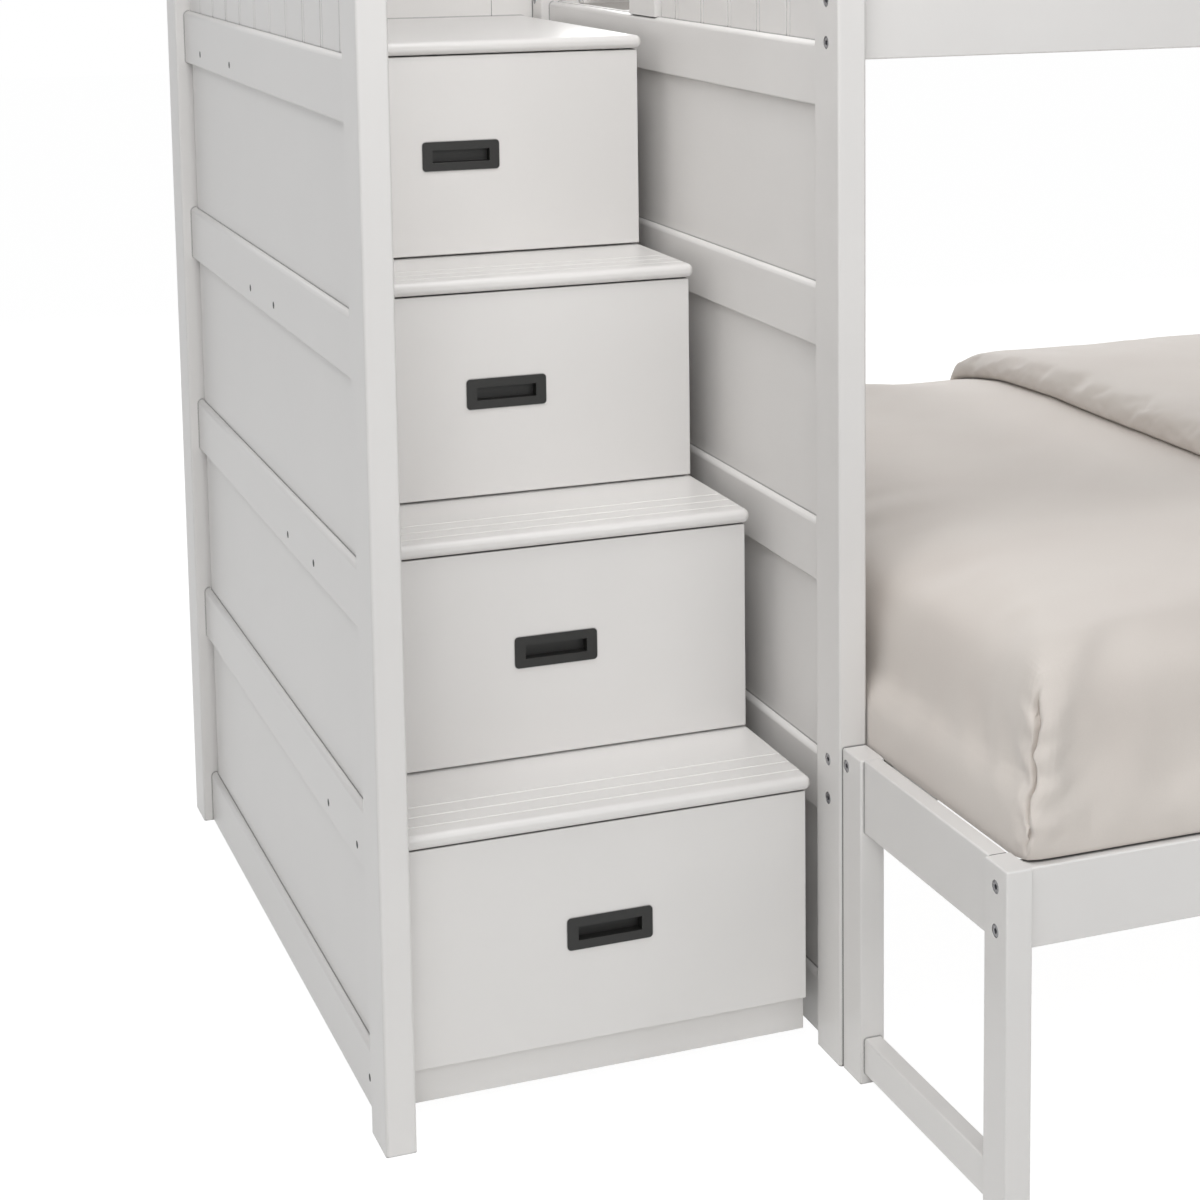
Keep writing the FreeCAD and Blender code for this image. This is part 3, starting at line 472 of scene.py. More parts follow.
def new_tree(name, inputs):
    """A Geometry Nodes tree, its input node and its output node. inputs gives names and defaults."""
    tree = bpy.data.node_groups.new(name, "GeometryNodeTree")
    tree.interface.new_socket("Geometry", in_out="INPUT", socket_type="NodeSocketGeometry")
    for label, value in inputs.items():
        kind = "NodeSocketMaterial" if value is None else INPUT_KINDS[type(value)]
        socket = tree.interface.new_socket(label, in_out="INPUT", socket_type=kind)
        if value is not None:
            socket.default_value = value
    tree.interface.new_socket("Geometry", in_out="OUTPUT", socket_type="NodeSocketGeometry")
    return tree, tree.nodes.new("NodeGroupInput").outputs, tree.nodes.new("NodeGroupOutput").inputs


def calculate(tree, operation, *values):
    """A math node of a tree, with plain numbers or other outputs as its values."""
    node = add_node(tree, "ShaderNodeMath", dict(enumerate(values)), operation=operation)
    return node.outputs[0]


def grow(tree, kind, inputs=None, **settings):
    """Adds a geometry node and returns its first output."""
    return add_node(tree, "GeometryNode" + kind, inputs, **settings).outputs[0]


def position(tree):
    """The X, Y and Z of each point as the outputs of a node."""
    return add_node(tree, "ShaderNodeSeparateXYZ", {0: grow(tree, "InputPosition")}).outputs


def vector(tree, **parts):
    """A vector from its X, Y and Z."""
    return add_node(tree, "ShaderNodeCombineXYZ", parts).outputs[0]


def product(tree, first, second):
    return calculate(tree, "MULTIPLY", first, second)


def difference(tree, first, second):
    return calculate(tree, "SUBTRACT", first, second)


def halved(tree, value):
    return calculate(tree, "DIVIDE", value, 2.0)


def finish_tree(tree, geometry, material, output):
    """Every tree ends in real geometry with its material on."""
    real = grow(tree, "RealizeInstances", {"Geometry": geometry})
    painted = grow(tree, "SetMaterial", {"Geometry": real, "Material": material})
    tree.links.new(painted, output["Geometry"])


def plain_mesh(thing):
    """The mesh of an object as its modifiers leave it."""
    graph = bpy.context.evaluated_depsgraph_get()
    return bpy.data.meshes.new_from_object(thing.evaluated_get(graph), depsgraph=graph)


def run_tree(tree, values, points=None, facing=None):
    """Runs a tree with its named inputs set, and returns its plain mesh."""
    start = bpy.data.meshes.new("start")
    start.from_pydata(points or [], [], [])
    if facing:
        ways = start.attributes.new("facing", "FLOAT_VECTOR", "POINT")
        ways.data.foreach_set("vector", np.ravel(facing))
    holder = put("holder", start)
    modifier = holder.modifiers.new("grow", "NODES")
    modifier.node_group = tree
    for item in tree.interface.items_tree:
        if item.in_out == "INPUT" and item.name in values:
            modifier[item.identifier] = values[item.name]
    mesh = plain_mesh(holder)
    bpy.data.objects.remove(holder)
    return mesh


def mesh_from(shape, name):
    """The plain mesh of a bmesh, which is freed."""
    mesh = bpy.data.meshes.new(name)
    shape.to_mesh(mesh)
    shape.free()
    return mesh


def new_piece(name, meshes, place=None):
    """One closed object from plain meshes, with doubled points merged and faces turned outwards."""
    whole = bmesh.new()
    for mesh in meshes:
        whole.from_mesh(mesh)
    if place is not None:
        whole.transform(place)
    bmesh.ops.remove_doubles(whole, verts=whole.verts, dist=TOUCH)
    bmesh.ops.recalc_face_normals(whole, faces=whole.faces)
    mesh = mesh_from(whole, name)
    for material in meshes[0].materials:
        mesh.materials.append(material)
    return put(name, mesh)


# %% [markdown]
# ## Top drawer front
# The photograph shows only a hairline between each drawer front and the tread above it. The solids
# have it at the three lower drawers, and leave a wider gap at the top one. A solid is never reshaped
# in place, so that front is replaced by a merged copy, whose top edge is lifted until its gap is the
# same as at the drawer below.

# %% Top drawer front
TOP_EDGE = 0.003  # vertices this near to the top of the front belong to its top edge


def merged_copy(node):
    """The mesh of a solid to work on, with the vertices joined that the file keeps apart."""
    shape = bmesh.new()
    shape.from_mesh(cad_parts[node].data)
    bmesh.ops.remove_doubles(shape, verts=shape.verts, dist=WELD)
    return shape


def gap_above(number):
    """The gap between a drawer front and the tread over it."""
    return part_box(f"tread_{number}")[0][2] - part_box(f"drawer_{number}_front")[1][2]


front_rise = gap_above(4) - gap_above(3)
front_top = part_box("drawer_4_front")[1][2]
shape = merged_copy("drawer_4_front")
for vertex in shape.verts:
    if vertex.co.z > front_top - TOP_EDGE:
        vertex.co.z += front_rise
mesh = mesh_from(shape, "drawer_4_face")
mesh.materials.append(lacquer_long)
face = put("drawer_4_face", mesh)
soften(face, BOARD_EDGE)
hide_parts("drawer_4_front")
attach(face, "drawer_4")
print(face.name, len(mesh.polygons), "faces,", round(front_rise * 1000, 1), "mm taller than its solid")

# %% [markdown]
# ## Beaded boards
# Above the flat panels, the end panels carry a board of mock tongues: pairs of narrow grooves with
# a round bead between them, at an even pitch. The tree starts from a fine upright grid, pushes its
# points inwards by the profile of the grooves, and extrudes a flat back.

# %% Beaded boards
BOARD = {"Width": 0.93, "Height": 0.464, "Thickness": 0.006, "First bead": 0.0735, "Pitch": 0.087,
         "Pairs": 10, "Pair gap": 0.010, "Groove width": 0.003, "Groove depth": 0.002, "Columns": 1200,
         "Material": None}
BEAD_FALL = 0.4  # how far the round of a bead falls, as a share of the groove's depth


def beaded_board_tree():
    tree, given, out = new_tree("beaded_board", BOARD)
    grid = grow(tree, "MeshGrid", {"Size X": given["Width"], "Size Y": given["Height"],
                                   "Vertices X": given["Columns"], "Vertices Y": 2})
    spot = position(tree)
    across = calculate(tree, "ADD", spot["X"], halved(tree, given["Width"]))
    height = calculate(tree, "ADD", spot["Y"], halved(tree, given["Height"]))
    half_pitch, half_gap = halved(tree, given["Pitch"]), halved(tree, given["Pair gap"])
    from_first = calculate(tree, "ADD", difference(tree, across, given["First bead"]), half_pitch)
    number = calculate(tree, "FLOOR", calculate(tree, "DIVIDE", from_first, given["Pitch"]))
    within = difference(tree, calculate(tree, "WRAP", from_first, given["Pitch"], 0.0), half_pitch)
    from_middle = calculate(tree, "ABSOLUTE", within)
    from_groove = calculate(tree, "ABSOLUTE", difference(tree, from_middle, half_gap))
    half_groove = halved(tree, given["Groove width"])
    groove = add_node(tree, "ShaderNodeMapRange", {"Value": from_groove, "From Max": half_groove,
                                                   "To Min": 1.0, "To Max": 0.0},
                      interpolation_type="SMOOTHSTEP")
    bead = calculate(tree, "POWER", calculate(tree, "DIVIDE", from_middle, half_gap), 3.0)
    on_bead = calculate(tree, "LESS_THAN", from_middle, half_gap)
    bead_drop = product(tree, product(tree, bead, BEAD_FALL), on_bead)
    deepest = calculate(tree, "MAXIMUM", groove.outputs["Result"], bead_drop)
    counted = product(tree, calculate(tree, "GREATER_THAN", number, -0.5),
                    calculate(tree, "LESS_THAN", number, difference(tree, given["Pairs"], 0.5)))
    drop = product(tree, product(tree, deepest, counted), given["Groove depth"])
    face_place = vector(tree, X=drop, Y=across, Z=height)
    face = grow(tree, "SetPosition", {"Geometry": grid, "Position": face_place})
    solid = add_node(tree, "GeometryNodeExtrudeMesh", {"Mesh": face, "Individual": False,
                                                       "Offset Scale": given["Thickness"]})
    stand = position(tree)
    flat_place = vector(tree, X=given["Thickness"], Y=stand["Y"], Z=stand["Z"])
    backed = grow(tree, "SetPosition", {"Geometry": solid.outputs["Mesh"], "Position": flat_place,
                                        "Selection": solid.outputs["Top"]})
    turned = grow(tree, "FlipFaces", {"Mesh": face})
    both = grow(tree, "JoinGeometry", {"Geometry": [turned, backed]})
    closed = grow(tree, "MergeByDistance", {"Geometry": both, "Distance": TOUCH})
    finish_tree(tree, closed, given["Material"], out)
    return tree


board_tree = beaded_board_tree()
BOARDS = (("tower", 0.0735, 10, True), ("head", 0.0190, 6, True), ("foot", 0.0735, 10, False))
for panel, first_bead, pairs, faces_left in BOARDS:
    node = panel + "_beadboard"
    low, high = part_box(node)
    mesh = run_tree(board_tree, {"Width": high[1] - low[1], "Height": high[2] - low[2],
                                 "Thickness": high[0] - low[0], "First bead": first_bead, "Pairs": pairs,
                                 "Material": lacquer_upright})
    side = 1 if faces_left else -1
    corner = Vector((low[0] if faces_left else high[0], low[1], low[2]))
    place = Matrix.Translation(corner) @ Matrix.Diagonal((side, 1, 1, 1))
    board = new_piece(panel + "_beaded_board", [mesh], place)
    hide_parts(node)
    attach(board, "bed_frame")
    print(board.name, len(board.data.polygons), "faces")

# %% [markdown]
# ## Slats
# Thirteen slats at an even pitch carry each mattress, and thirteen short ones the part of the lower
# bed that stands out in front. Each slat is its own board, so the tree gives each a tone between -1
# and 1, which the paint takes up as a very slight change of shade.

# %% Slats
SLAT_COUNT, SLAT_WIDTH, SLAT_EDGE, FIRST_SEED = 13, 0.07, 0.0015, 3
EXTENSION_PLAY = 0.0003  # between the short slats and the rail behind them
SLATS = {"Count": SLAT_COUNT, "First": (0.0, 0.0, 0.0), "Pitch": 0.149, "Slat": (SLAT_WIDTH, 1.0, 0.014),
         "Seed": FIRST_SEED, "Material": None}


def slat_tree():
    tree, given, out = new_tree("slat_row", SLATS)
    step = vector(tree, X=given["Pitch"])
    row = grow(tree, "MeshLine", {"Count": given["Count"], "Start Location": given["First"],
                                  "Offset": step})
    slat = grow(tree, "MeshCube", {"Size": given["Slat"]})
    placed = grow(tree, "InstanceOnPoints", {"Points": row, "Instance": slat})
    tone = add_node(tree, "FunctionNodeRandomValue", {2: -1.0, 3: 1.0, "Seed": given["Seed"]},
                    data_type="FLOAT")
    toned = grow(tree, "StoreNamedAttribute", {"Geometry": placed, "Name": "tone",
                                               "Value": tone.outputs[1]},
                 data_type="FLOAT", domain="INSTANCE")
    finish_tree(tree, toned, given["Material"], out)
    return tree


slat_row = slat_tree()


def slats(name, node, rows):
    """Rows of slats that stand for a node. rows gives the front and rear end of each row."""
    low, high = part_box(node)
    pitch = (high[0] - low[0] - SLAT_WIDTH) / (SLAT_COUNT - 1)
    meshes = []
    for seed, (start, end) in enumerate(rows, FIRST_SEED):
        first = (low[0] + SLAT_WIDTH / 2, (start + end) / 2, (low[2] + high[2]) / 2)
        size = (SLAT_WIDTH, end - start, high[2] - low[2])
        meshes.append(run_tree(slat_row, {"Count": SLAT_COUNT, "First": first, "Pitch": pitch,
                                          "Slat": size, "Seed": seed, "Material": painted_slat}))
    row = new_piece(name, meshes)
    soften(row, SLAT_EDGE)
    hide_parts(node)
    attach(row, "bed_frame")
    print(name, len(row.data.polygons), "faces")


bunk_span = (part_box("upper_slats")[0][1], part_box("upper_slats")[1][1])
extension_span = (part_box("lower_slats")[0][1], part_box("lower_middle_rail")[0][1] - EXTENSION_PLAY)
slats("upper_bed_slats", "upper_slats", [bunk_span])
slats("lower_bed_slats", "lower_slats", [bunk_span, extension_span])

# %% [markdown]
# ## Bolts
# Each long rail is held by two bolts at either end, and a shorter one sits near the top of the inner
# leg at either end. A bolt has a flat head with a hexagon socket and a turned edge. The long ones
# reach into a barrel nut that lies across the rail. One tree sets bolts on points and turns each to
# its own `facing`, and a second one does the same with the nuts.

# %% Bolts and barrel nuts
BOLT = {"Head radius": 0.0065, "Head height": 0.005, "Turned edge": 0.0007, "Socket radius": 0.0029,
        "Socket depth": 0.0032, "Shank radius": 0.003, "Shank length": 0.062, "Material": None}
NUT = {"Radius": 0.005, "Length": 0.016, "Bore radius": 0.0033, "Slot width": 0.0016, "Slot depth": 0.0015,
       "Material": None}


def on_facing_points(tree, given, shape):
    """Instances of a shape on the given points, its +Z turned to the attribute facing."""
    facing = grow(tree, "InputNamedAttribute", {"Name": "facing"}, data_type="FLOAT_VECTOR")
    turn_to = add_node(tree, "FunctionNodeAlignRotationToVector", {"Vector": facing}, axis="Z")
    return grow(tree, "InstanceOnPoints", {"Points": given["Geometry"], "Instance": shape,
                                           "Rotation": turn_to.outputs[0]})


def lifted(tree, shape, height):
    """A shape moved along Z."""
    return grow(tree, "Transform", {"Geometry": shape, "Translation": vector(tree, Z=height)})


def round_bar(tree, sides, radius, depth):
    """A cylinder, or a prism when it has few sides."""
    return grow(tree, "MeshCylinder", {"Vertices": sides, "Radius": radius, "Depth": depth})


def bolt_tree():
    tree, given, out = new_tree("socket_bolt", BOLT)
    straight = difference(tree, given["Head height"], given["Turned edge"])
    body = round_bar(tree, 32, given["Head radius"], straight)
    body_height = difference(tree, product(tree, straight, -0.5), given["Turned edge"])
    narrow = difference(tree, given["Head radius"], given["Turned edge"])
    rim = grow(tree, "MeshCone", {"Vertices": 32, "Radius Top": narrow,
                                  "Radius Bottom": given["Head radius"], "Depth": given["Turned edge"]})
    rim_height = product(tree, given["Turned edge"], -1.0)
    head = grow(tree, "MeshBoolean", {1: [lifted(tree, body, body_height), lifted(tree, rim, rim_height)]},
                operation="UNION")
    hexagon = round_bar(tree, 6, given["Socket radius"], product(tree, given["Socket depth"], 2.0))
    socketed = grow(tree, "MeshBoolean", {0: head, 1: hexagon}, operation="DIFFERENCE")
    shank = round_bar(tree, 16, given["Shank radius"], given["Shank length"])
    below = difference(tree, product(tree, given["Shank length"], -0.5), given["Head height"])
    bolt = grow(tree, "JoinGeometry", {"Geometry": [socketed, lifted(tree, shank, below)]})
    finish_tree(tree, on_facing_points(tree, given, bolt), given["Material"], out)
    return tree


def nut_tree():
    tree, given, out = new_tree("barrel_nut", NUT)
    blank = round_bar(tree, 32, given["Radius"], given["Length"])
    through = product(tree, given["Radius"], 4.0)
    bore = round_bar(tree, 16, given["Bore radius"], through)
    across = grow(tree, "Transform", {"Geometry": bore, "Rotation": (0.0, math.pi / 2, 0.0)})
    slot_size = vector(tree, X=through, Y=given["Slot width"], Z=product(tree, given["Slot depth"], 2.0))
    slot_box = grow(tree, "MeshCube", {"Size": slot_size})
    top = product(tree, given["Length"], 0.5)
    nut = grow(tree, "MeshBoolean", {0: blank, 1: [across, lifted(tree, slot_box, top)]},
               operation="DIFFERENCE")
    finish_tree(tree, on_facing_points(tree, given, nut), given["Material"], out)
    return tree


BOLT_PITCH = 0.0436  # between the two bolts of a rail end
BOLT_SINK = 0.0005  # how far a head is sunk into the wood
NUT_BACK = 0.034  # from the end of the rail to the nut
LEG_SHANK = 0.028  # shank of the shorter bolt of a leg frame
LEG_BOLT_FORWARD, LEG_BOLT_DOWN = 0.010, 0.017  # from the front post and from the top of the leg
RAILS = ("upper_front_rail", "upper_rear_rail", "lower_rear_rail", "lower_middle_rail", "lower_front_rail")
post_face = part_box("head_front_post")[0][0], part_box("foot_front_post")[1][0]
leg_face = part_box("head_outer_leg")[0][0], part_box("foot_leg_frame")[1][0]
bolt_spots, bolt_ways, nut_spots = [], [], []
for rail in RAILS:
    low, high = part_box(rail)
    faces = leg_face if rail == "lower_front_rail" else post_face
    for way, face, end in ((-1, faces[0], low[0]), (1, faces[1], high[0])):
        for height in (-BOLT_PITCH / 2, BOLT_PITCH / 2):
            y, z = (low[1] + high[1]) / 2, (low[2] + high[2]) / 2 + height
            bolt_spots.append((face - way * BOLT_SINK, y, z))
            bolt_ways.append((way, 0, 0))
            nut_spots.append((end - way * NUT_BACK, y, z))
print(len(bolt_spots), "bolts,", len(nut_spots), "nuts")
leg_bolt_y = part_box("head_front_post")[0][1] - LEG_BOLT_FORWARD
leg_bolt_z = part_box("head_inner_leg")[1][2] - LEG_BOLT_DOWN
leg_spots = [(x, leg_bolt_y, leg_bolt_z) for x in (leg_face[0] + BOLT_SINK, leg_face[1] - BOLT_SINK)]
bolt_maker, nut_maker = bolt_tree(), nut_tree()
bolts = new_piece("socket_bolts", [
    run_tree(bolt_maker, {"Material": zinc}, bolt_spots, bolt_ways),
    run_tree(bolt_maker, {"Material": zinc, "Shank length": LEG_SHANK}, leg_spots, [(-1, 0, 0), (1, 0, 0)]),
    run_tree(nut_maker, {"Material": zinc}, nut_spots, [(0, 1, 0)] * len(nut_spots))])
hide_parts("bolts_and_nuts")
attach(bolts, "bed_frame")
print(bolts.name, len(bolts.data.polygons), "faces")

# %% [markdown]
# ## Bedding
# The lower bed is made up with a quilted cover that is tucked in under the mattress, and a quilt
# folded in two lies across it. Cloth over a soft filling bulges between its tucks, so each piece
# starts from a copy of its solid, a little smaller, cut to even faces and rounded. Then a cloth
# simulation blows it up from inside, with the hem held. It goes much further than real bedding does,
# so the points are drawn back to within a cap, and that cap sets most of the crown. The waves, the
# creases and the folds are added afterwards by formulas.

# %% Helpers for soft goods
STEPS = 20  # steps of the cloth simulation


def smooth(value, start, end):
    """0 below start, 1 above end, and a soft step between them."""
    part = np.clip((value - start) / (end - start), 0.0, 1.0)
    return part * part * (3 - 2 * part)


def coordinates(mesh):
    spots = np.empty(len(mesh.vertices) * 3)
    mesh.vertices.foreach_get("co", spots)
    return spots.reshape(-1, 3)


def directions(mesh):
    ways = np.empty(len(mesh.vertices) * 3)
    mesh.vertex_normals.foreach_get("vector", ways)
    return ways.reshape(-1, 3)


def set_coordinates(mesh, spots):
    mesh.vertices.foreach_set("co", np.ravel(spots))
    mesh.update()


def waves(spots, scale, seed, octaves=2):
    """Smooth noise at every point, about -1 to 1. scale is how many waves a metre holds per axis."""
    shift = Vector((seed * 7.31, seed * 3.17, seed * 5.77))
    places = (Vector(spot) * Vector(scale) + shift for spot in spots)
    return np.array([noise.fractal(place, 1.0, 2.0, octaves) for place in places])


def soft_start(name, node, inset, grid, rounding, held):
    """A copy of a soft solid, smaller by inset, cut to even faces and rounded above its held hem."""
    copy = merged_copy(node)
    low, high = (np.array(corner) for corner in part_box(node))
    middle, half = (low + high) / 2, (high - low) / 2
    for vertex in copy.verts:
        for axis in range(3):
            factor = (half[axis] - inset[axis]) / half[axis]
            vertex.co[axis] = middle[axis] + (vertex.co[axis] - middle[axis]) * factor
        vertex.co.z -= inset[2]
    piece = put(name, mesh_from(copy, name))
    even = piece.modifiers.new("even", "REMESH")
    even.mode = "VOXEL"
    even.voxel_size = grid
    piece.data = plain_mesh(piece)
    piece.modifiers.clear()
    above = piece.vertex_groups.new(name="above")
    hem = piece.vertex_groups.new(name="hem")
    heights = coordinates(piece.data)[:, 2] - low[2]
    for number, height in enumerate(heights):
        loose = float(smooth(height, held * 0.5, held * 2.5))
        above.add([number], loose, "REPLACE")
        hem.add([number], 1.0 - loose, "REPLACE")
    relax = piece.modifiers.new("relax", "SMOOTH")
    relax.factor = 0.5
    relax.iterations = rounding
    relax.vertex_group = "above"
    rounded = plain_mesh(piece)
    set_coordinates(piece.data, coordinates(rounded))
    piece.modifiers.clear()
    return piece


def inflate(piece, pressure, extra, cap):
    """Blows a closed piece up with the hem held and a share of extra cloth.
    cap is the most that a point moves."""
    start = coordinates(piece.data)
    cloth_modifier = piece.modifiers.new("cloth", "CLOTH")
    settings = cloth_modifier.settings
    settings.quality = 5
    settings.mass = 0.3
    settings.tension_stiffness = settings.compression_stiffness = 12
    settings.shear_stiffness = 5
    settings.bending_stiffness = 0.4
    settings.use_pressure = True
    settings.uniform_pressure_force = pressure
    settings.shrink_min = -extra
    settings.vertex_group_mass = "hem"
    settings.effector_weights.gravity = 0
    cloth_modifier.point_cache.frame_start = 1
    cloth_modifier.point_cache.frame_end = STEPS
    for step in range(1, STEPS + 1):
        scene.frame_set(step)
    ended = coordinates(plain_mesh(piece))
    piece.modifiers.clear()
    scene.frame_set(1)
    moved = ended - start
    reach = np.linalg.norm(moved, axis=1)
    print(piece.name, "moved up to", round(float(reach.max()) * 1000, 1), "mm")
    moved *= (np.tanh(reach / cap) * cap / np.maximum(reach, 1e-9))[:, None]
    set_coordinates(piece.data, start + moved)
    finer = piece.modifiers.new("finer", "SUBSURF")
    finer.levels = finer.render_levels = 1
    piece.data = plain_mesh(piece)
    piece.modifiers.clear()
    piece.vertex_groups.clear()


def fit_into(mesh, low, high):
    """Scales and shifts each axis so that the mesh just fills the box from low to high."""
    spots = coordinates(mesh)
    for axis in range(3):
        least, most = spots[:, axis].min(), spots[:, axis].max()
        spots[:, axis] = low[axis] + (spots[:, axis] - least) * (high[axis] - low[axis]) / (most - least)
    set_coordinates(mesh, spots)


def refine(mesh, chosen, times):
    """Divides the faces whose middle is chosen, again and again, to hold finer folds."""
    shape = bmesh.new()
    shape.from_mesh(mesh)
    for _ in range(times):
        edges = {edge for face in shape.faces if chosen(face.calc_center_median()) for edge in face.edges}
        bmesh.ops.subdivide_edges(shape, edges=list(edges), cuts=1, use_grid_fill=True, smooth=0.0)
    bmesh.ops.triangulate(shape, faces=[face for face in shape.faces if len(face.verts) > 4])
    shape.to_mesh(mesh)
    shape.free()


def finish_soft(piece, node):
    for face in piece.data.polygons:
        face.use_smooth = True
    piece.data.materials.clear()
    piece.data.materials.append(cloth)
    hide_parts(node)
    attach(piece, "bed_frame")
    print(piece.name, len(piece.data.polygons), "faces")


# %% [markdown]
# The cover has broad slack waves on top, upright creases down its sides where it is pulled under,
# and at each front corner a tuck: the cloth of the front is drawn round the corner and folded back
# over the side, so a rolled, slightly ruffled edge stands in front of a deep crease. The tuck comes
# after the simulation, in faces that are divided again around it, because an even cut would be too
# coarse for it.

# %% Made-up mattress
LOFT = 0.015  # how much higher the cover lies than the bare mattress
SPREAD = 0.007  # how far it spreads towards the end rails
CROWN = 0.060  # the part below the top that is flattened
CROWN_LEFT = 0.40  # what is left of the fall just below the top
TUCK_WIDE, TUCK_TALL = 0.075, 0.195  # the corner whose faces are divided for the tuck
TUCK_LINE = 0.024  # faces this near to the crease are divided once more
CORNER = 0.12  # the tuck is drawn within this distance of the corner
MOUTH = 0.140  # height at which the crease opens
CREASE_DEPTH = 0.0065  # of the tuck, below its rolled edge
ROLL = 0.0050  # how far the rolled edge stands out
RUFFLE, PULL = 0.0016, 0.0010  # small folds behind the crease and in front of it
BROAD_TOP, SLANT_TOP = 0.0022, 0.0013  # heights of the slack waves on top
UPRIGHT_SIDE, BROAD_SIDE = 0.0022, 0.0015  # and of the creases and waves on the sides
PUCKER = 0.0016  # puckers along the lower edge
cover_low, cover_high = (np.array(corner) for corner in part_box("lower_mattress"))
cover_low[0] -= SPREAD
cover_high[0] += SPREAD
cover = soft_start("made_up_mattress", "lower_mattress", inset=(0.010, 0.010, 0.005), grid=0.017,
                   rounding=22, held=0.018)
inflate(cover, pressure=3.5, extra=0.035, cap=0.022)
cover_top = cover_high + np.array((0.0, 0.0, LOFT))
fit_into(cover.data, cover_low, cover_top)
spots = coordinates(cover.data)
depth = cover_top[2] - spots[:, 2]
flattened = depth * (CROWN_LEFT + (1 - CROWN_LEFT) * depth / CROWN)
spots[:, 2] = cover_top[2] - np.where(depth < CROWN, flattened, depth)
set_coordinates(cover.data, spots)


def out_to_ends(mesh, clear_of_tuck):
    """Draws the lower part of both ends out to the end rails, so that no gap shows beside them.
    clear_of_tuck is how far from the front it begins."""
    spots = coordinates(mesh)
    low_down = 1 - smooth(spots[:, 2] - cover_low[2], 0.03, 0.08)
    beside = smooth(spots[:, 1] - cover_low[1], clear_of_tuck, clear_of_tuck * 2)
    for wall, way in ((cover_low[0], -1), (cover_high[0], 1)):
        away = (wall - spots[:, 0]) * way
        spots[:, 0] += way * away * 0.95 * low_down * beside * (1 - smooth(away, 0.02, 0.04))
    set_coordinates(mesh, spots)


out_to_ends(cover.data, 0.001)


def near_tuck(spot):
    return (spot.y < cover_low[1] + TUCK_WIDE and spot.z < cover_low[2] + TUCK_TALL
            and min(spot.x - cover_low[0], cover_high[0] - spot.x) < TUCK_WIDE)


def on_tuck(spot):
    from_end = min(spot.x - cover_low[0], cover_high[0] - spot.x)
    return near_tuck(spot) and abs(spot.y - cover_low[1] - from_end) < TUCK_LINE


refine(cover.data, near_tuck, 2)
refine(cover.data, on_tuck, 1)
spots, ways = coordinates(cover.data), directions(cover.data)
rise = spots[:, 2] - cover_low[2]
tall = cover_high[2] - cover_low[2]
from_front = spots[:, 1] - cover_low[1]
side_on = smooth(rise, 0.012, 0.05) * (1 - smooth(rise, tall - 0.075, tall - 0.03))
top_on = smooth(rise, tall - 0.05, tall - 0.02)

broad = waves(spots, (3.1, 4.3, 2.0), 1)
slanted = np.c_[spots[:, 0] + spots[:, 1], spots[:, 0] - spots[:, 1], spots[:, 2]]
diagonal = waves(slanted, (2.2, 9.0, 3.0), 2)
upright = waves(spots, (11.0, 11.0, 3.2), 3)
push = top_on * (BROAD_TOP * broad + SLANT_TOP * diagonal)
push = push + side_on * (UPRIGHT_SIDE * upright + BROAD_SIDE * broad)
low_down = (1 - smooth(rise, 0.01, 0.06)) * smooth(rise, 0.001, 0.008)
push += low_down * PUCKER * waves(spots, (26.0, 26.0, 4.0), 4, 1)

for end in (0, 1):
    from_end = spots[:, 0] - cover_low[0] if end == 0 else cover_high[0] - spots[:, 0]
    close = (from_front < CORNER) & (from_end < CORNER)
    along = from_front - from_end
    line = 0.003 + 0.0028 * np.sin(rise * 130 + 1 + end) + 0.0008 * np.sin(rise * 310 + 2)
    length = smooth(rise, 0.004, 0.02) * (1 - smooth(rise, 0.138, 0.168))
    mouth = np.exp(-((rise - MOUTH) / 0.014) ** 2)
    past = along - line
    crease_wide = 0.0030 + 0.003 * mouth
    crease = -(CREASE_DEPTH + 0.003 * mouth) * length * np.exp(-((past - 0.002) / crease_wide) ** 2)
    roll = ROLL * length * (1 - smooth(past, -0.004, 0.0005)) * smooth(past, -0.045, -0.010)
    roll *= 0.8 + 0.2 * np.sin(rise * 205 + 0.7)
    behind = RUFFLE * length * np.sin(rise * 165 - along * 60)
    behind *= np.exp(-((past - 0.016) / 0.010) ** 2)
    pulls = -PULL * length * np.sin(rise * 175 + along * 60)
    pulls *= np.exp(-((past + 0.030) / 0.016) ** 2)
    push += np.where(close, crease + roll + behind + pulls, 0.0)
set_coordinates(cover.data, spots + ways * push[:, None])
fit_into(cover.data, cover_low, cover_top)
out_to_ends(cover.data, 0.018)
finish_soft(cover, "lower_mattress")

# %% [markdown]
# The folded quilt lies on the cover and follows its crown. Its fold faces the stairs and is round
# and whole. On the other three sides the two layers show, with a crease between them.

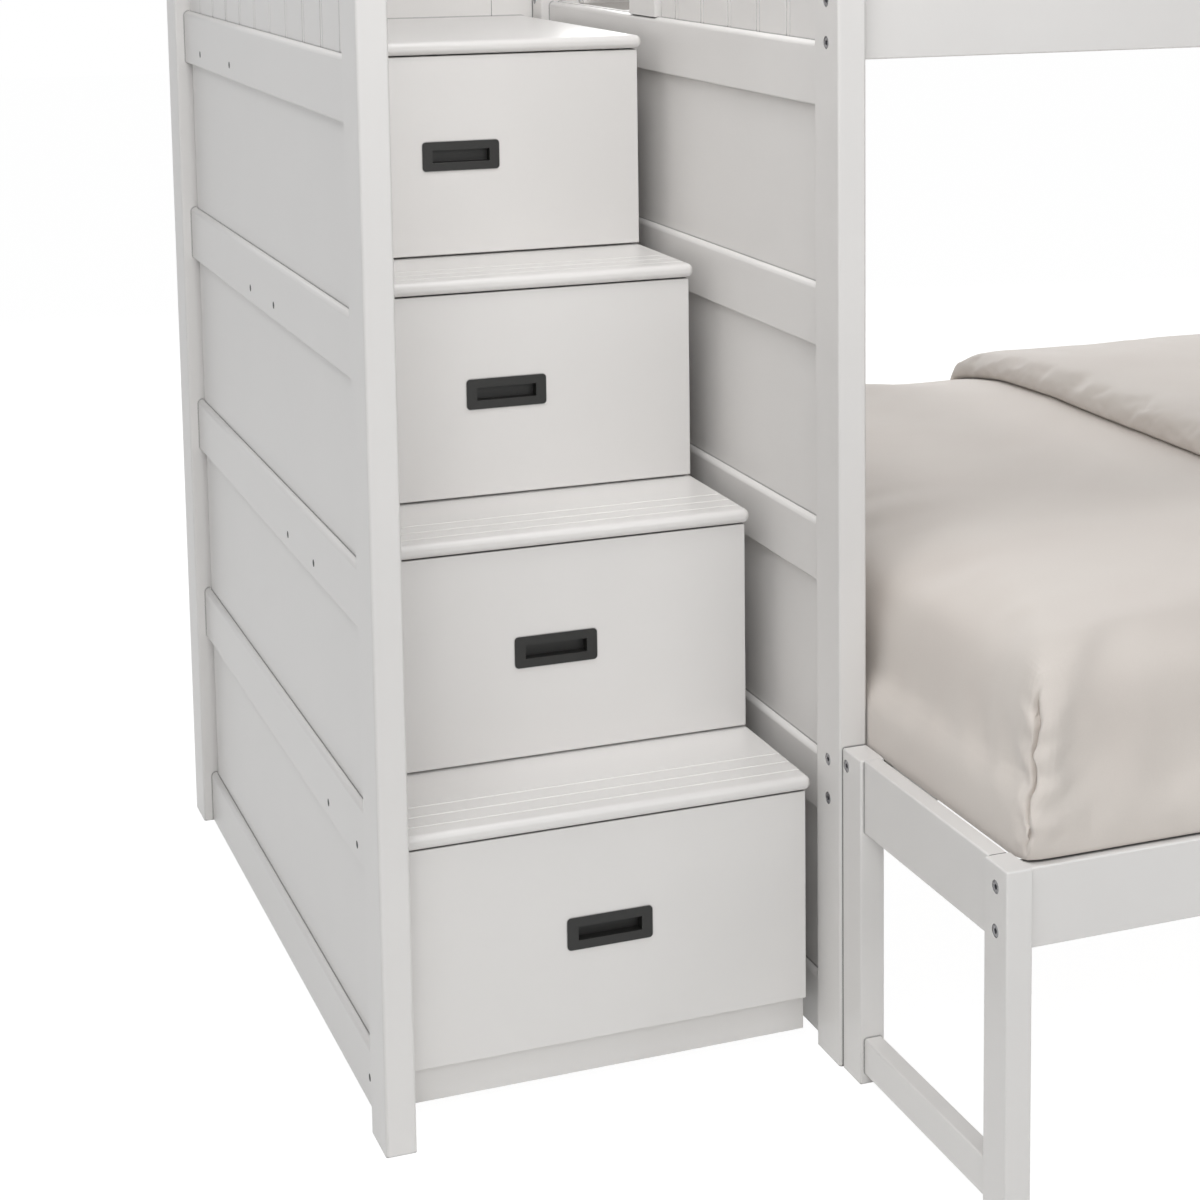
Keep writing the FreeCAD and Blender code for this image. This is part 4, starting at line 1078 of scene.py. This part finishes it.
# %% Folded quilt
FOLD_REACH = 0.012  # how far the fold stands out towards the stairs
QUILT_LOFT = 0.010  # how much thicker the quilt is than its solid
LAYER_CREASE = 0.006  # depth of the crease between the two layers
GRID = 0.02  # spacing at which the cover under the quilt is measured
quilt_low, quilt_high = (np.array(corner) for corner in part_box("folded_quilt"))
quilt_low[0] -= FOLD_REACH
quilt_high[2] += QUILT_LOFT
quilt_middle = Vector((quilt_low + quilt_high) / 2)
quilt = soft_start("folded_quilt_cloth", "folded_quilt", inset=(0.008, 0.008, 0.0015), grid=0.0085,
                   rounding=6, held=0.003)
inflate(quilt, pressure=1.2, extra=0.02, cap=0.008)
fit_into(quilt.data, quilt_low, quilt_high)
spots, ways = coordinates(quilt.data), directions(quilt.data)
from_fold = spots[:, 0] - quilt_low[0]
inside = np.minimum.reduce([quilt_high[0] - spots[:, 0], spots[:, 1] - quilt_low[1],
                            quilt_high[1] - spots[:, 1]])
layer = (quilt_low[2] + quilt_high[2]) / 2
open_side = smooth(0.03 - inside, 0.0, 0.02) * smooth(from_fold, 0.02, 0.06)
push = -LAYER_CREASE * open_side * np.exp(-((spots[:, 2] - layer) / 0.0035) ** 2)
on_top = smooth(spots[:, 2], layer, quilt_high[2] - 0.004)
push += on_top * (0.0018 * waves(spots, (4.0, 3.0, 2.0), 6) + 0.0012 * waves(spots, (12.0, 2.5, 3.0), 7))
set_coordinates(quilt.data, spots + ways * push[:, None])
fit_into(quilt.data, quilt_low, quilt_high)

ground = BVHTree.FromPolygons([vertex.co for vertex in cover.data.vertices],
                              [face.vertices for face in cover.data.polygons])
across = np.arange(quilt_low[0] - GRID, quilt_high[0] + 2 * GRID, GRID)
along = np.arange(quilt_low[1] - GRID, quilt_high[1] + 2 * GRID, GRID)
down = Vector((0, 0, -1))
heights = np.array([[(ground.ray_cast(Vector((x, y, 1.0)), down)[0] or quilt_middle).z for y in along]
                    for x in across])
spots = coordinates(quilt.data)
column, row = (spots[:, 0] - across[0]) / GRID, (spots[:, 1] - along[0]) / GRID
left, front = column.astype(int), row.astype(int)
right_part, rear_part = column - left, row - front
under_front = heights[left, front] * (1 - right_part) + heights[left + 1, front] * right_part
under_rear = heights[left, front + 1] * (1 - right_part) + heights[left + 1, front + 1] * right_part
under = under_front * (1 - rear_part) + under_rear * rear_part
spots[:, 2] += under - cover_high[2]
set_coordinates(quilt.data, spots)
finish_soft(quilt, "folded_quilt")
